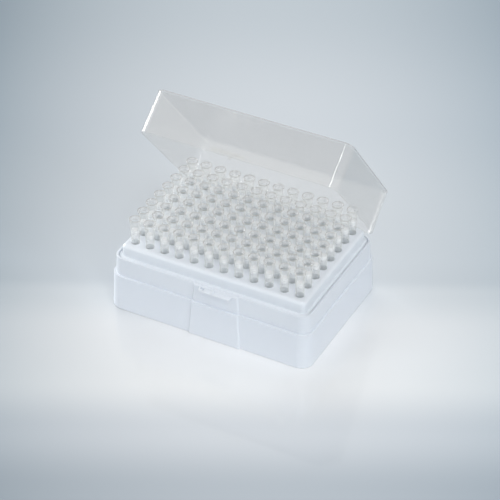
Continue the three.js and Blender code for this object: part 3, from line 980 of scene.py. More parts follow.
@dataclass
class Base:
    """White tray: walls with a ledge, the raised front panel, the thumb tab and the hinge ears."""

    layout: Layout
    finish: WhitePlastic
    rim_wall: float = 1.2
    rim_gap: float = 0.35
    corner: float = 5.0
    corner_steps: int = 14
    draft: float = 1.75
    cavity_draft: float = 0.5
    ledge_height: float = 21.75
    ledge_step: float = 1.2
    ledge_slope: float = 0.05
    ledge_round: float = 0.12
    ledge_fillet: float = 0.15
    foot_round: float = 0.6
    foot_inset: float = 2.0
    rim_round: float = 0.28
    floor: float = 1.8
    floor_round: float = 1.5
    panel_centre: float = 4.9
    panel_top_width: float = 25.1
    panel_foot_width: float = 30.2
    panel_proud: float = 0.75
    panel_bevel: float = 0.8
    panel_ease: float = 0.25
    panel_below_rim: float = 0.9
    panel_top_bevel: float = 0.6
    panel_top_levels: tuple[float, ...] = (0, 0.2, 0.4, 0.6, 0.75)
    tab_from: float = -4.45
    tab_width: float = 19.4
    tab_overlap: float = 9.6
    tab_reach: float = 2.3
    tab_drop: float = 1.25
    tab_thickness: float = 1.0
    tab_chamfer: float = 1.3
    tab_below_rim: float = 0.6
    snap_wall: float = 0.85
    snap_rise: float = 0.7
    snap_cut: float = 6.0
    ridge_steps: tuple[float, float] = (0.02, 0.05)
    ridge_inset: float = 0.15
    ridge_slope: float = 0.4
    ridge_round: float = 0.15
    edge_round: float = 0.2
    lug_width: float = 1.5
    lug_inset: float = 1.0
    tooth_width: float = 1.5
    tooth_depth: float = 0.8
    tooth_gap: float = 0.3
    seat_rib: float = 1.4
    seat_rib_reach: float = 1.6
    seat_rib_top: float = 30.9
    seat_rib_root: float = 0.3
    ribs_long: int = 6
    ribs_short: int = 4
    notch_width: float = 9.0
    notch_radius: float = 2.8
    ear_thickness: float = 1.8
    ear_reach: float = 2.0
    ear_drop: float = 2.8
    ear_fillet: float = 1.0
    pin_radius: float = 1.1
    pin_facets: int = 28
    cutter_reach: float = 1.0

    @property
    def rim_x(self) -> float:
        """Half length inside the rim."""
        return self.layout.flange_x + self.rim_gap

    @property
    def rim_y(self) -> float:
        """Half depth inside the rim."""
        return self.layout.flange_y + self.rim_gap

    def wall_out(self, height: np.ndarray | float) -> np.ndarray | float:
        """Outside of the upper wall beyond the rim's inside: the wall plus its draft."""
        return self.rim_wall + tan_degrees(self.draft) * (self.layout.rim_top - height)

    def outside_levels(self) -> np.ndarray:
        """Levels of the outside from the foot's underside over the ledge to the rim.

        Returns:
            Rows of height, half length, half depth and corner radius.
        """
        top, ledge = self.layout.rim_top, self.ledge_height
        lower = float(self.wall_out(0)) + self.ledge_step
        at_ledge = float(self.wall_out(ledge))
        section = filleted([
            (lower - self.foot_inset, 0, 0),
            (lower, 0, self.foot_round),
            (at_ledge + self.ledge_step, ledge, self.ledge_round),
            (at_ledge, ledge + self.ledge_slope, self.ledge_fillet),
            (self.rim_wall, top, self.rim_round),
            (self.rim_wall / 2, top, 0),
        ], steps=5)
        beyond, height = section[:, 0], section[:, 1]
        draft = tan_degrees(self.draft) * (top - height)
        radius = self.corner + beyond - draft
        return np.column_stack([height, self.rim_x + beyond, self.rim_y + beyond, radius])

    def inside_levels(self) -> np.ndarray:
        """Levels of the cavity from the rim down to the floor.

        Returns:
            Rows of height, half length, half depth and corner radius.
        """
        top = self.layout.rim_top
        lean = tan_degrees(self.cavity_draft) * (top - self.floor)
        section = filleted([
            (self.rim_wall / 2, top, 0),
            (0, top, self.rim_round),
            (-lean, self.floor, self.floor_round),
            (-lean - 2 * self.floor_round, self.floor, 0),
        ], steps=5)[1:]
        beyond, height = section[:, 0], section[:, 1]
        radius = np.full(len(height), self.corner)
        return np.column_stack([height, self.rim_x + beyond, self.rim_y + beyond, radius])

    def panel(self, height: np.ndarray, outside: np.ndarray) -> Ribbon:
        """Columns of the raised panel.

        Across its sloping edge the panel rises as t, from 0 at its root to 1 on its face, with
        t's two ends rounded by parabolas. It follows the wall's outline, and above its top it
        falls back to the wall.

        Args:
            height: Height of each level.
            outside: True for the levels that lie outside the rim.

        Returns:
            The columns, with how far they stand out.
        """
        ease = self.panel_ease
        run = np.array([
            -ease, -ease / 2, 0, ease / 2, ease, 0.5,
            1 - ease, 1 - ease / 2, 1, 1 + ease / 2, 1 + ease,
        ])
        low = np.clip((run + ease) ** 2 / (4 * ease), 0, None)
        high = 1 - (1 + ease - run) ** 2 / (4 * ease)
        rise = np.where(run < ease, low, np.where(run > 1 - ease, high, run))
        slope = (self.panel_foot_width - self.panel_top_width) / self.layout.rim_top
        half = (self.panel_foot_width - slope * height)[:, None] / 2
        edge = half + self.panel_bevel * (1 - run)[None]
        x = self.panel_centre + np.concatenate([-edge, edge[:, ::-1]], axis=1)
        across = np.concatenate([rise, rise[::-1]])[None]
        top = self.layout.rim_top - self.panel_below_rim
        fall = np.clip((top + self.panel_top_bevel - height) / self.panel_top_bevel, 0, 1)
        return Ribbon(x, self.panel_proud * across * (fall * outside)[:, None])

    def body(self) -> Shell:
        """Walls, floor and raised panel as one closed shell.

        Returns:
            The shell.
        """
        outside = self.outside_levels()
        round_foot = self.layout.rim_top - self.rim_round
        extra = self.layout.rim_top - self.panel_below_rim + np.array(self.panel_top_levels)
        keep = extra[extra < round_foot]
        out = self.wall_out(keep)
        radius = np.full(len(keep), self.corner + self.rim_wall)
        added = np.column_stack([keep, self.rim_x + out, self.rim_y + out, radius])
        where = int(np.searchsorted(outside[:, 0], round_foot))
        below = outside[:where][outside[:where, 0] < keep.min()]
        outside = np.concatenate([below, added, outside[where:]])
        inside = self.inside_levels()
        levels = np.concatenate([outside, inside])
        is_outside = np.arange(len(levels)) < len(outside)
        return loft(levels, self.corner_steps, self.panel(levels[:, 0], is_outside))

    def tab_lines(self) -> dict[str, float]:
        """Root, tip and slope of the thumb tab, from the panel's front face.

        Returns:
            Each measure by its name.
        """
        root_z = self.layout.rim_top - self.tab_below_rim
        face = -(self.rim_y + float(self.wall_out(root_z)) + self.panel_proud)
        root_y = face + self.panel_proud + self.rim_wall / 2
        tip_y = face - self.tab_reach
        return {
            "root_z": root_z, "face": face, "root_y": root_y, "tip_y": tip_y,
            "slope": self.tab_drop / (root_y - tip_y),
        }

    def tab(self) -> list[Shell]:
        """The thumb tab with its chamfered end, its raised snap walls and its lug.

        Returns:
            One shell for each of them.
        """
        line = self.tab_lines()
        root_y, tip_y = line["root_y"], line["tip_y"]

        def surface(y: float) -> float:
            """Height of the tab's upper face."""
            return line["root_z"] - line["slope"] * (root_y - y)

        plan = np.array([
            [self.tab_from, root_y], [self.tab_from, tip_y],
            [self.tab_from + self.tab_width - self.tab_chamfer, tip_y],
            [self.tab_from + self.tab_width, line["face"]],
            [self.tab_from + self.tab_width, root_y],
        ])
        top = np.column_stack([plan, [surface(y) for y in plan[:, 1]]])
        foot = top - np.array([0, 0, self.tab_thickness])
        tongue = Shell(np.concatenate([foot, top]), capped_faces(2, len(plan)))

        def ridge(start: float, end: float, back: float) -> Shell:
            """Raised wall on the tab.

            Args:
                start: X of its left side.
                end: X of its right side.
                back: Y of its rear end.

            Returns:
                The closed shell.
            """
            front = tip_y + self.ridge_inset
            slope = front + self.ridge_slope
            low = self.tab_thickness / 2
            profile = np.array([
                [front, surface(front) - low], [back, surface(back) - low],
                [back, surface(back) + self.snap_rise],
                [slope, surface(slope) + self.snap_rise],
                [front, surface(front) + self.snap_rise / 2],
            ])
            return extruded(profile, start, end)

        back = line["face"] + self.panel_proud / 2
        tooth_x = self.tab_from + self.snap_wall + self.tooth_gap
        lug_to = self.tab_from + self.tab_overlap - self.lug_inset
        # The walls start a little apart, so that no two of their sides lie in one plane.
        side_from, front_from = (self.tab_from + step for step in self.ridge_steps)
        side_wall = ridge(side_from, self.tab_from + self.snap_wall, back)
        front_wall = ridge(front_from, tooth_x + self.tooth_width, tip_y + self.snap_wall)
        return [
            bevelled(tongue, self.edge_round),
            bevelled(side_wall, self.ridge_round),
            bevelled(front_wall, self.ridge_round),
            bevelled(ridge(lug_to - self.lug_width, lug_to, back), self.edge_round),
        ]

    def snap_hole(self) -> Shell:
        """Cutter of the hole in the tab that the lid's tooth snaps into.

        Returns:
            The closed shell.
        """
        line = self.tab_lines()
        x = self.tab_from + self.snap_wall
        y = line["tip_y"] + self.snap_wall
        across = self.tooth_width + 2 * self.tooth_gap
        deep = self.tooth_depth + 2 * self.tooth_gap
        foot = line["root_z"] - self.snap_cut
        top = self.layout.rim_top + self.cutter_reach
        return block((x, y, foot), (x + across, y + deep, top))

    def seat_ribs(self) -> list[Shell]:
        """Ribs along the inside of the walls that carry the rack's flange.

        Returns:
            One shell for each rib.
        """
        left, front = self.layout.axis(self.layout.rows - 1, 0)
        foot, top = self.floor - self.seat_rib_root, self.seat_rib_top
        reach = (self.seat_rib_root, -self.seat_rib_reach)
        ribs = []
        for side in (-1, 1):
            for half, start, count, on_short_side in (
                (self.rim_y, left, self.ribs_long, False),
                (self.rim_x, front, self.ribs_short, True),
            ):
                low, high = sorted(side * (half + out) for out in reach)
                for place in np.linspace(start + self.seat_rib, -start - self.seat_rib, count):
                    near, far = place - self.seat_rib / 2, place + self.seat_rib / 2
                    if on_short_side:
                        ribs.append(block((low, near, foot), (high, far, top)))
                    else:
                        ribs.append(block((near, low, foot), (far, high, top)))
        return ribs

    def hinge_stations(self) -> tuple[list[Shell], list[Shell], list[Shell]]:
        """Notches in the rim, the ears beside them and the pins across them.

        Returns:
            The notches' cutters, the ears and the pins.
        """
        hinge_y, hinge_z = self.layout.hinge
        top = self.layout.rim_top
        root = self.rim_y + self.rim_wall / 2
        front = hinge_y - self.notch_radius - self.cutter_reach
        back = hinge_y + self.ear_reach
        ear = filleted([
            (root, hinge_z - self.ear_drop, 0),
            (hinge_y, hinge_z - self.ear_drop, self.ear_fillet),
            (back, hinge_z - self.ear_reach / 2, self.ear_fillet),
            (back, top, self.ear_fillet / 2),
            (root, top, 0),
        ], steps=4)
        angle = np.linspace(0, 2 * math.pi, self.pin_facets, endpoint=False)
        pin = np.column_stack([
            hinge_y + self.pin_radius * np.cos(angle), hinge_z + self.pin_radius * np.sin(angle),
        ])
        notches, ears, pins = [], [], []
        for x in self.layout.hinge_places:
            left, right = x - self.notch_width / 2, x + self.notch_width / 2
            notches.append(block(
                (left, front, hinge_z - self.notch_radius),
                (right, back + self.cutter_reach, top + self.cutter_reach),
            ))
            for start in (left - self.ear_thickness, right):
                sharp = extruded(ear, start, start + self.ear_thickness)
                ears.append(bevelled(sharp, self.edge_round))
            inset = self.ear_thickness / 2
            pins.append(extruded(pin, left - inset, right + inset))
        return notches, ears, pins

    def build(self) -> None:
        """Makes the base and puts it on the box's body."""
        thing = new_object("base_tray", self.body())
        combine(thing, self.seat_ribs(), "UNION")
        for part in self.tab():
            combine(thing, [part], "UNION")
        notches, ears, pins = self.hinge_stations()
        combine(thing, [self.snap_hole(), *notches], "DIFFERENCE")
        combine(thing, ears, "UNION")
        combine(thing, pins, "UNION")
        finish_piece(thing, self.finish.material(), Body.BOX, ["base"])
        even_shading(thing)


# ---------------------------------------------------------------- rack


@dataclass
class Rack:
    """White rack: a plate with the tips' holes on a platform with a flange round its foot."""

    layout: Layout
    finish: WhitePlastic
    plate_thickness: float = 2.6
    margin_x: float = 5.75
    draft: float = 1.5
    platform_round: float = 2.0
    platform_inset: float = 0.3
    platform_corner: float = 2.8
    least_corner: float = 0.5
    foot_fillet: float = 0.35
    wall: float = 1.5
    inner_fillet: float = 0.8
    inner_inset: float = 1.5
    flange_thickness: float = 1.2
    flange_below_rim: float = 0.5
    flange_round: float = 0.22
    flange_short: float = 0.15
    flange_corner: float = 4.65
    rib: float = 1.0
    rib_drop: float = 3.4
    rib_root: float = 0.3
    rib_reach: float = 0.1
    hole_radius: float = 2.5
    hole_edge: float = 0.12
    hole_facets: int = 40
    corner_steps: int = 12
    relief_width: float = 9.4
    relief_radius: float = 2.8
    relief_depth: float = 4.0
    cutter_reach: float = 1.0

    def levels(self) -> np.ndarray:
        """Levels from the plate's underside down the inside, round the flange and up outside.

        Returns:
            Rows of height, half length, half depth and corner radius.
        """
        flange_top = self.layout.rim_top - self.flange_below_rim
        flange_foot = flange_top - self.flange_thickness
        plate_foot = self.layout.plate_top - self.plate_thickness
        half_x = -self.layout.first[0] + self.margin_x
        brim = self.layout.flange_x - half_x - self.flange_short
        lean = tan_degrees(self.draft) * (self.layout.plate_top - flange_top)
        inside = -self.wall
        section = filleted([
            (inside - lean - self.inner_inset, plate_foot, 0),
            (inside - lean, plate_foot, self.inner_fillet),
            (inside, flange_foot, 0),
            (brim, flange_foot, self.flange_round),
            (brim, flange_top, self.flange_round),
            (0, flange_top, self.foot_fillet),
            (-lean, self.layout.plate_top, self.platform_round),
            (-lean - self.platform_round - self.platform_inset, self.layout.plate_top, 0),
        ], steps=7)
        beyond, height = section[:, 0], section[:, 1]
        half_y = self.layout.flange_y - self.flange_short - brim
        drafted = tan_degrees(self.draft) * np.clip(height - flange_top, 0, None)
        share = np.clip(beyond / brim, 0, 1)
        radius = self.platform_corner + np.minimum(beyond + drafted, 0)
        radius = np.maximum(radius, self.least_corner) * (1 - share) + self.flange_corner * share
        return np.column_stack([height, half_x + beyond, half_y + beyond, radius])

    def holes(self) -> list[Shell]:
        """Cutters of the tips' holes, each with a small chamfer at the plate's top.

        Returns:
            One closed shell for each hole.
        """
        top = self.layout.plate_top
        profile = np.array([
            [self.hole_radius, top - self.plate_thickness - self.cutter_reach],
            [self.hole_radius, top - self.hole_edge],
            [self.hole_radius + self.hole_edge, top],
            [self.hole_radius + self.hole_edge, top + self.cutter_reach],
        ])
        hole = turned(profile, self.hole_facets)
        places = [
            self.layout.axis(row, column)
            for row in range(self.layout.rows) for column in range(self.layout.columns)
        ]
        return [hole.moved(x, y) for x, y in places]

    def ribs(self) -> list[Shell]:
        """Ribs under the plate, between the rows of tips.

        Returns:
            One closed shell for each rib.
        """
        foot = self.layout.plate_top - self.plate_thickness - self.rib_drop
        end = -self.layout.first[0] + self.margin_x - self.wall + self.rib_reach
        return [
            block((-end, y, foot), (end, y + self.rib, foot + self.rib_drop + self.rib_root))
            for y in (
                self.layout.axis(row, 0)[1] - (self.layout.pitch + self.rib) / 2
                for row in range(self.layout.rows - 1)
            )
        ]

    def reliefs(self) -> list[Shell]:
        """Cutters of the flange's reliefs for the lid's hooks.

        Returns:
            One closed shell for each relief.
        """
        hinge_y = self.layout.hinge[0]
        top = self.layout.rim_top
        return [
            block(
                (x - self.relief_width / 2, hinge_y - self.relief_radius, top - self.relief_depth),
                (x + self.relief_width / 2, hinge_y, top),
            )
            for x in self.layout.hinge_places
        ]

    def build(self) -> None:
        """Makes the rack and puts it on the box's body."""
        thing = new_object("rack_tray", loft(self.levels(), self.corner_steps))
        combine(thing, self.ribs(), "UNION")
        combine(thing, [*self.holes(), *self.reliefs()], "DIFFERENCE")
        finish_piece(thing, self.finish.material(), Body.BOX, ["rack"])
        even_shading(thing)


# ---------------------------------------------------------------- tips and filters


def build_rows(
    layout: Layout, shell: Shell, material: bpy.types.Material, kind: str,
    sharp_angle: float,
) -> None:
    """Makes a piece of each row of tips or filters and puts it on the box's body.

    Args:
        layout: Places in the frame.
        shell: One of them, with its axis on the origin.
        material: Their finish.
        kind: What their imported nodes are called, before the row's letter.
        sharp_angle: Edges that turn more than this many degrees stay sharp.
    """
    for row, letter in enumerate(ROW_LETTERS):
        places = [layout.axis(row, column) for column in range(layout.columns)]
        joined = Shell.joined([shell.moved(x, y) for x, y in places])
        thing = new_object(f"{kind}s_row_{letter}", joined)
        replaced = [name for name in frame["nodes"] if name.startswith(f"{kind}_{letter}")]
        finish_piece(thing, material, Body.BOX, replaced, sharp_angle)


@dataclass
class Tips:
    """Clear, thin-walled tips with flared rims, made a row at a time."""

    layout: Layout
    finish: ClearPlastic
    rim_radius: float = 3.3
    collar_radius: float = 2.95
    collar_height: float = 13.2
    collar_thickness: float = 0.4
    body_radius: float = 2.68
    body_top: float = 11.0
    body_thickness: float = 0.6
    foot_radius: float = 2.42
    foot_drop: float = 1.6
    kink_radius: float = 1.75
    kink_drop: float = 20.0
    end_radius: float = 0.55
    end_bore: float = 0.3
    end_thickness: float = 0.02
    bore_flare: float = 0.25
    wall: float = 0.36
    lip_round: float = 0.36 / 2.2
    facets: int = 28
    sharp_angle: float = 50.0

    def profile(self) -> np.ndarray:
        """Closed outline of a tip's wall, up the outside and down the bore.

        Returns:
            Rows of radius and height.
        """
        top = self.layout.tip_top
        foot = self.layout.tip_foot
        plate = self.layout.plate_top
        bore = self.body_radius - self.wall
        mouth = self.rim_radius - self.wall
        outline = filleted([
            (self.end_bore, foot, 0),
            (self.end_radius, foot, 0),
            (self.kink_radius, plate - self.kink_drop, 6.0),
            (self.foot_radius, plate - self.foot_drop, 3.0),
            (self.body_radius, plate + self.body_top, 0.5),
            (self.collar_radius, plate + self.collar_height, 0.8),
            (self.rim_radius, top, self.lip_round),
            (mouth, top, self.lip_round),
            (bore + self.bore_flare, plate + self.collar_height - self.collar_thickness, 0.8),
            (bore, plate + self.body_top - self.body_thickness, 0.6),
            (self.foot_radius - self.wall, plate, 0.6),
            (self.kink_radius - self.wall, plate - self.kink_drop, 4.0),
            (self.end_bore, foot + self.end_thickness, 0),
        ], steps=3)
        return outline[:-1]

    def build(self) -> None:
        """Makes the rows of tips."""
        tip = lathe(self.profile(), self.facets)
        finish = self.finish.material()
        build_rows(self.layout, tip, finish, "tip", self.sharp_angle)


@dataclass
class Filters:
    """White filter plugs inside the tips, made a row at a time."""

    layout: Layout
    finish: FilterFelt
    radius: float = 2.02
    middle: float = 0.2
    edge: float = 0.5
    top_drop: float = 0.5
    facets: int = 20
    sharp_angle: float = 60.0

    def profile(self) -> np.ndarray:
        """Half outline of a plug with soft edges, from its foot to its top.

        Returns:
            Rows of radius and height.
        """
        low, high = self.layout.filter_foot, self.layout.filter_top - self.top_drop
        return filleted([
            (self.middle, low, 0),
            (self.radius, low, self.edge),
            (self.radius, high, self.edge),
            (self.middle, high, 0),
        ], steps=3)

    def build(self) -> None:
        """Makes the rows of filters."""
        plug = turned(self.profile(), self.facets)
        finish = self.finish.material()
        build_rows(self.layout, plug, finish, "filter", self.sharp_angle)


# ---------------------------------------------------------------- lid


@dataclass
class Lid:
    """Clear lid with its thumb tab, tooth and hinge hooks, made closed and then turned open.

    It stands on the base's rim, nearly flush with the rim's outside. Its finishes are those of
    its walls, of its round top edges, which take a painted dark line of shade, of its tab and of
    its top.
    """

    layout: Layout
    base: Base
    finishes: tuple[ClearPlastic, ...]
    height: float = 25.4
    wall: float = 1.0
    top: float = 1.2
    draft: float = 0.8
    top_round: float = 1.2
    top_fillet: float = 0.5
    top_insets: tuple[float, float] = (2.0, 1.0)
    foot_round: float = 0.25
    corner: float = 5.5
    least_corner: float = 1.2
    corner_steps: int = 16
    over_rim: float = 1.15
    above_rim: float = 0.1
    side_play: float = -0.3
    ear_slot: float = 2.4
    ear_slot_height: float = 3.4
    tab_rise: float = 1.0
    tab_over_rim: float = 0.3
    tab_bend: float = 1.2
    tab_end_round: float = 0.25
    tab_round: float = 0.2
    tooth_drop: float = 1.75
    tooth_chamfer: float = 0.5
    tooth_root: float = 0.3
    tooth_sink: float = 0.2
    pin_gap: float = 0.25
    hook_thickness: float = 1.1
    hook_width: float = 8.0
    hook_mouth: float = 100.0
    hook_steps: int = 24
    arm_slope: float = 0.6
    arm_drop: float = 0.05
    hook_round: float = 0.12
    hollow_ends: tuple[float, float] = (-1.0, 4.0)
    cutter_reach: float = 1.0
    tab_clear: float = 0.1
    least_outward: float = 0.05
    edge_slope: tuple[float, float] = (0.1, 0.97)
    top_slope: float = 0.9

    @property
    def foot(self) -> float:
        """Height of the closed lid's foot."""
        return self.layout.rim_top + self.above_rim

    def levels(self) -> np.ndarray:
        """Levels from the underside of the top down the inside and up the outside to the top.

        Returns:
            Rows of height, half length, half depth and corner radius.
        """
        foot = self.foot
        half_x = self.base.rim_x + self.over_rim
        half_y = self.base.rim_y + self.over_rim
        lean = tan_degrees(self.draft) * self.height
        inner_lean = tan_degrees(self.draft) * (self.height - self.top)
        inner_inset, outer_inset = self.top_insets
        inner_top = foot + self.height - self.top
        section = filleted([
            (-self.wall - inner_lean - inner_inset, inner_top, 0),
            (-self.wall - inner_lean, inner_top, self.top_fillet),
            (-self.wall, foot, self.foot_round),
            (0, foot, self.foot_round),
            (-lean, foot + self.height, self.top_round),
            (-lean - self.top_round - outer_inset, foot + self.height, 0),
        ], steps=6)
        beyond, height = section[:, 0], section[:, 1]
        draft = tan_degrees(self.draft) * (height - foot)
        radius = np.maximum(self.corner + beyond + draft, self.least_corner)
        return np.column_stack([height, half_x + beyond, half_y + beyond, radius])

    def tab(self) -> tuple[list[Shell], list[Shell]]:
        """The thumb tab and its tooth, and the cutter of its slot.

        Returns:
            The shells to add and those to cut.
        """
        base = self.base
        tip_y = base.tab_lines()["tip_y"]
        root = -(base.rim_y + self.over_rim) + self.wall / 2
        foot = self.layout.rim_top + self.tab_over_rim
        top = foot + base.tab_thickness
        bend = -(base.rim_y + base.rim_wall + base.panel_proud)
        end = base.tab_from + base.tab_overlap
        tongue = filleted([
            (root, top, 0),
            (bend, top, self.tab_bend),
            (tip_y, top + self.tab_rise, self.tab_end_round),
            (tip_y, foot + self.tab_rise, self.tab_end_round),
            (bend, foot, self.tab_bend),
            (root, foot, 0),
        ], steps=4)
        tooth_x = base.tab_from + base.snap_wall + base.tooth_gap
        tooth_y = tip_y + base.snap_wall + base.tooth_gap
        tooth_foot = foot - self.tooth_drop
        tooth = np.array([
            [tooth_y, tooth_foot + self.tooth_chamfer],
            [tooth_y + base.tooth_depth / 2, tooth_foot],
            [tooth_y + base.tooth_depth, foot + self.tooth_root],
            [tooth_y, top - self.tooth_sink],
        ])
        lug_to = base.tab_from + base.tab_overlap - base.lug_inset
        slot = block(
            (
                lug_to - base.lug_width - base.tooth_gap,
                tip_y - self.cutter_reach,
                foot - self.cutter_reach,
            ),
            (
                lug_to + base.tooth_gap,
                tip_y + base.tab_reach / 2,
                top + self.tab_rise + self.cutter_reach,
            ),
        )
        return [
            bevelled(extruded(tongue, end - base.tab_width, end), self.tab_round),
            extruded(tooth, tooth_x, tooth_x + base.tooth_width),
        ], [slot]

    def hooks(self) -> list[Shell]:
        """The two hooks that snap over the hinge's pins, with their arms.

        Returns:
            A closed shell for each hook and each arm.
        """
        hinge_y, hinge_z = self.layout.hinge
        inner = self.base.pin_radius + self.pin_gap
        outer = inner + self.hook_thickness
        half_mouth = math.radians(self.hook_mouth / 2)
        first, last = -math.pi / 2 + half_mouth, 3 * math.pi / 2 - half_mouth
        angle = np.linspace(first, last, self.hook_steps)
        ring = np.column_stack([np.cos(angle), np.sin(angle)])
        hook = np.concatenate([ring * outer, ring[::-1] * inner]) + np.array([hinge_y, hinge_z])
        foot = max(self.foot, hinge_z + inner)
        root = self.base.rim_y + self.over_rim - self.wall / 2
        top = hinge_z + outer
        arm = np.array([
            [root, foot], [hinge_y, foot],
            [hinge_y, top - self.arm_drop], [root, top + self.arm_slope],
        ])
        shells = []
        for x in self.layout.hinge_places:
            for profile in (hook, arm):
                sharp = extruded(profile, x - self.hook_width / 2, x + self.hook_width / 2)
                shells.append(bevelled(sharp, self.hook_round))
        return shells

    def hollow(self) -> Shell:
        """Cutter that clears whatever the arms and the tab reach into the lid's inside.

        Returns:
            The closed shell.
        """
        half_x = self.base.rim_x + self.over_rim - self.wall
        half_y = self.base.rim_y + self.over_rim - self.wall
        lean = tan_degrees(self.draft)
        rises = np.array(self.hollow_ends)
        return loft(np.column_stack([
            self.foot + rises, half_x - lean * rises, half_y - lean * rises,
            np.full(2, self.corner - self.wall),
        ]), self.corner_steps).moved(self.side_play)

    def ear_slots(self) -> list[Shell]:
        """Cutters of the slots in the rear wall that clear the hinge's ears.

        Returns:
            One closed shell for each slot.
        """
        base = self.base
        middle = (base.notch_width + base.ear_thickness) / 2
        back = base.rim_y + self.over_rim
        slots = []
        for x in self.layout.hinge_places:
            for side in (-middle, middle):
                left = x + side - self.ear_slot / 2
                slots.append(block(
                    (left, back - 2 * self.wall, self.foot - self.cutter_reach),
                    (
                        left + self.ear_slot,
                        back + self.cutter_reach,
                        self.foot + self.ear_slot_height,
                    ),
                ))
        return slots

    def mark_finishes(self, thing: bpy.types.Object) -> None:
        """Marks the faces of the closed lid by the finish that they take.

        The first finish is that of the walls. The second, a painted dark line of shade, goes on the
        round edges of the top that face the front or the right, the third on the tab and the fourth
        on the top.

        Args:
            thing: The closed lid.
        """
        mesh = thing.data
        for _ in self.finishes:
            mesh.materials.append(None)
        low = (self.foot + self.height - self.top_round) * MM
        front = -(self.base.rim_y + self.over_rim + self.tab_clear) * MM
        for face in mesh.polygons:
            normal, middle = face.normal, face.center
            outward = max(normal.x, -normal.y) > self.least_outward
            slanting = self.edge_slope[0] < normal.z < self.edge_slope[1]
            # Painted shade: these round top edges take the dark line of the second finish.
            if outward and slanting and middle.z > low:
                face.material_index = 1
            elif middle.y < front:
                face.material_index = 2
            elif abs(normal.z) > self.top_slope and middle.z > low - self.top * MM / 2:
                face.material_index = 3

    def build(self) -> None:
        """Makes the lid, turns it open about the hinge's axis and puts it on its body."""
        shell = loft(self.levels(), self.corner_steps).moved(self.side_play)
        thing = new_object("lid_cover", shell)
        parts, slots = self.tab()
        slots += self.ear_slots()
        for part in [*parts, *self.hooks()]:
            combine(thing, [part], "UNION")
        combine(thing, slots, "DIFFERENCE")
        combine(thing, [self.hollow()], "DIFFERENCE")
        self.mark_finishes(thing)
        axis = Vector((0, *self.layout.hinge)) * MM
        turn = (
            Matrix.Translation(axis)
            @ Matrix.Rotation(-self.layout.open_angle, 4, "X")
            @ Matrix.Translation(-axis)
        )
        thing.data.transform(turn)
        walls, *others = (finish.material() for finish in self.finishes)
        finish_piece(thing, walls, Body.LID, ["lid"])
        for finish in others:
            thing.data.materials.append(finish)
        even_shading(thing)


# ---------------------------------------------------------------- studio


def direction(azimuth: float, elevation: float) -> Vector:
    """Unit vector from the box towards a camera or a lamp.

    It is (sin a * cos e, -cos a * cos e, sin e) for azimuth a and elevation e.

    Args:
        azimuth: Degrees from -Y towards +X.
        elevation: Degrees above the horizon.

    Returns:
        The vector.
    """
    side, rise = math.radians(azimuth), math.radians(elevation)
    return Vector((
        math.sin(side) * math.cos(rise), -math.cos(side) * math.cos(rise), math.sin(rise),
    ))


@dataclass
class Camera:
    """The camera, by the direction and distance that it looks from.

    Attributes:
        azimuth: Degrees from -Y towards +X.
        elevation: Degrees above the horizon.
        roll: Degrees that the picture is turned by.
        distance: Millimetres from the target.
        lens: Focal length in millimetres.
        sensor: Width of the sensor in millimetres.
        clip: Nearest and furthest distance that it sees, in metres.
        target: Point in the middle of the picture, in millimetres.
    """

    azimuth: float = 27.43
    elevation: float = 36.443
    roll: float = 0.457
    distance: float = 1138.61
    lens: float = 150.789
    sensor: float = 36.0
    clip: Ends = (0.05, 50.0)
    target: tuple[float, float, float] = (3.027, 1.153, 30.788)

    def build(self) -> None:
        """Makes the camera and gives it to the scene."""
        data = bpy.data.cameras.new("camera")
        data.lens = self.lens
        data.sensor_width = self.sensor
        data.clip_start, data.clip_end = self.clip
        camera = bpy.data.objects.new("camera", data)
        bpy.context.scene.collection.objects.link(camera)
        back = direction(self.azimuth, self.elevation)
        right = Vector((0, 0, 1)).cross(back).normalized()
        up = back.cross(right)
        turn = math.radians(self.roll)
        level_right = math.cos(turn) * right + math.sin(turn) * up
        level_up = math.cos(turn) * up - math.sin(turn) * right
        place = (Vector(self.target) + back * self.distance) * MM
        camera.matrix_world = Matrix((
            (level_right.x, level_up.x, back.x, place.x),
            (level_right.y, level_up.y, back.y, place.y),
            (level_right.z, level_up.z, back.z, place.z),
            (0, 0, 0, 1),
        ))
        bpy.context.scene.camera = camera


class Lit(Enum):
    """What a lamp lights."""

    ALL = "all"
    BOX = "box"
    TABLE = "table"


@dataclass(frozen=True)
class Lamp:
    """A soft area lamp that points at the box.

    Attributes:
        name: The lamp's name.
        azimuth: Degrees from -Y towards +X.
        elevation: Degrees above the horizon.
        distance: Metres from the box.
        width: Metres across.
        height: Metres high.
        power: Watts.
        lights: What it lights.
    """

    name: str
    azimuth: float
    elevation: float
    distance: float
    width: float
    height: float
    power: float
    lights: Lit = Lit.ALL

    def build(self, target: Vector) -> bpy.types.Object:
        """Makes the lamp.

        Args:
            target: The point that it faces, in metres.

        Returns:
            The lamp.
        """
        data = bpy.data.lights.new(self.name, "AREA")
        data.shape = "RECTANGLE"
        data.size, data.size_y = self.width, self.height
        data.energy = self.power
        lamp = bpy.data.objects.new(self.name, data)
        lamp.visible_camera = False
        bpy.context.scene.collection.objects.link(lamp)
        back = direction(self.azimuth, self.elevation)
        lamp.location = target + back * self.distance
        lamp.rotation_euler = back.to_track_quat("Z", "Y").to_euler()
        return lamp


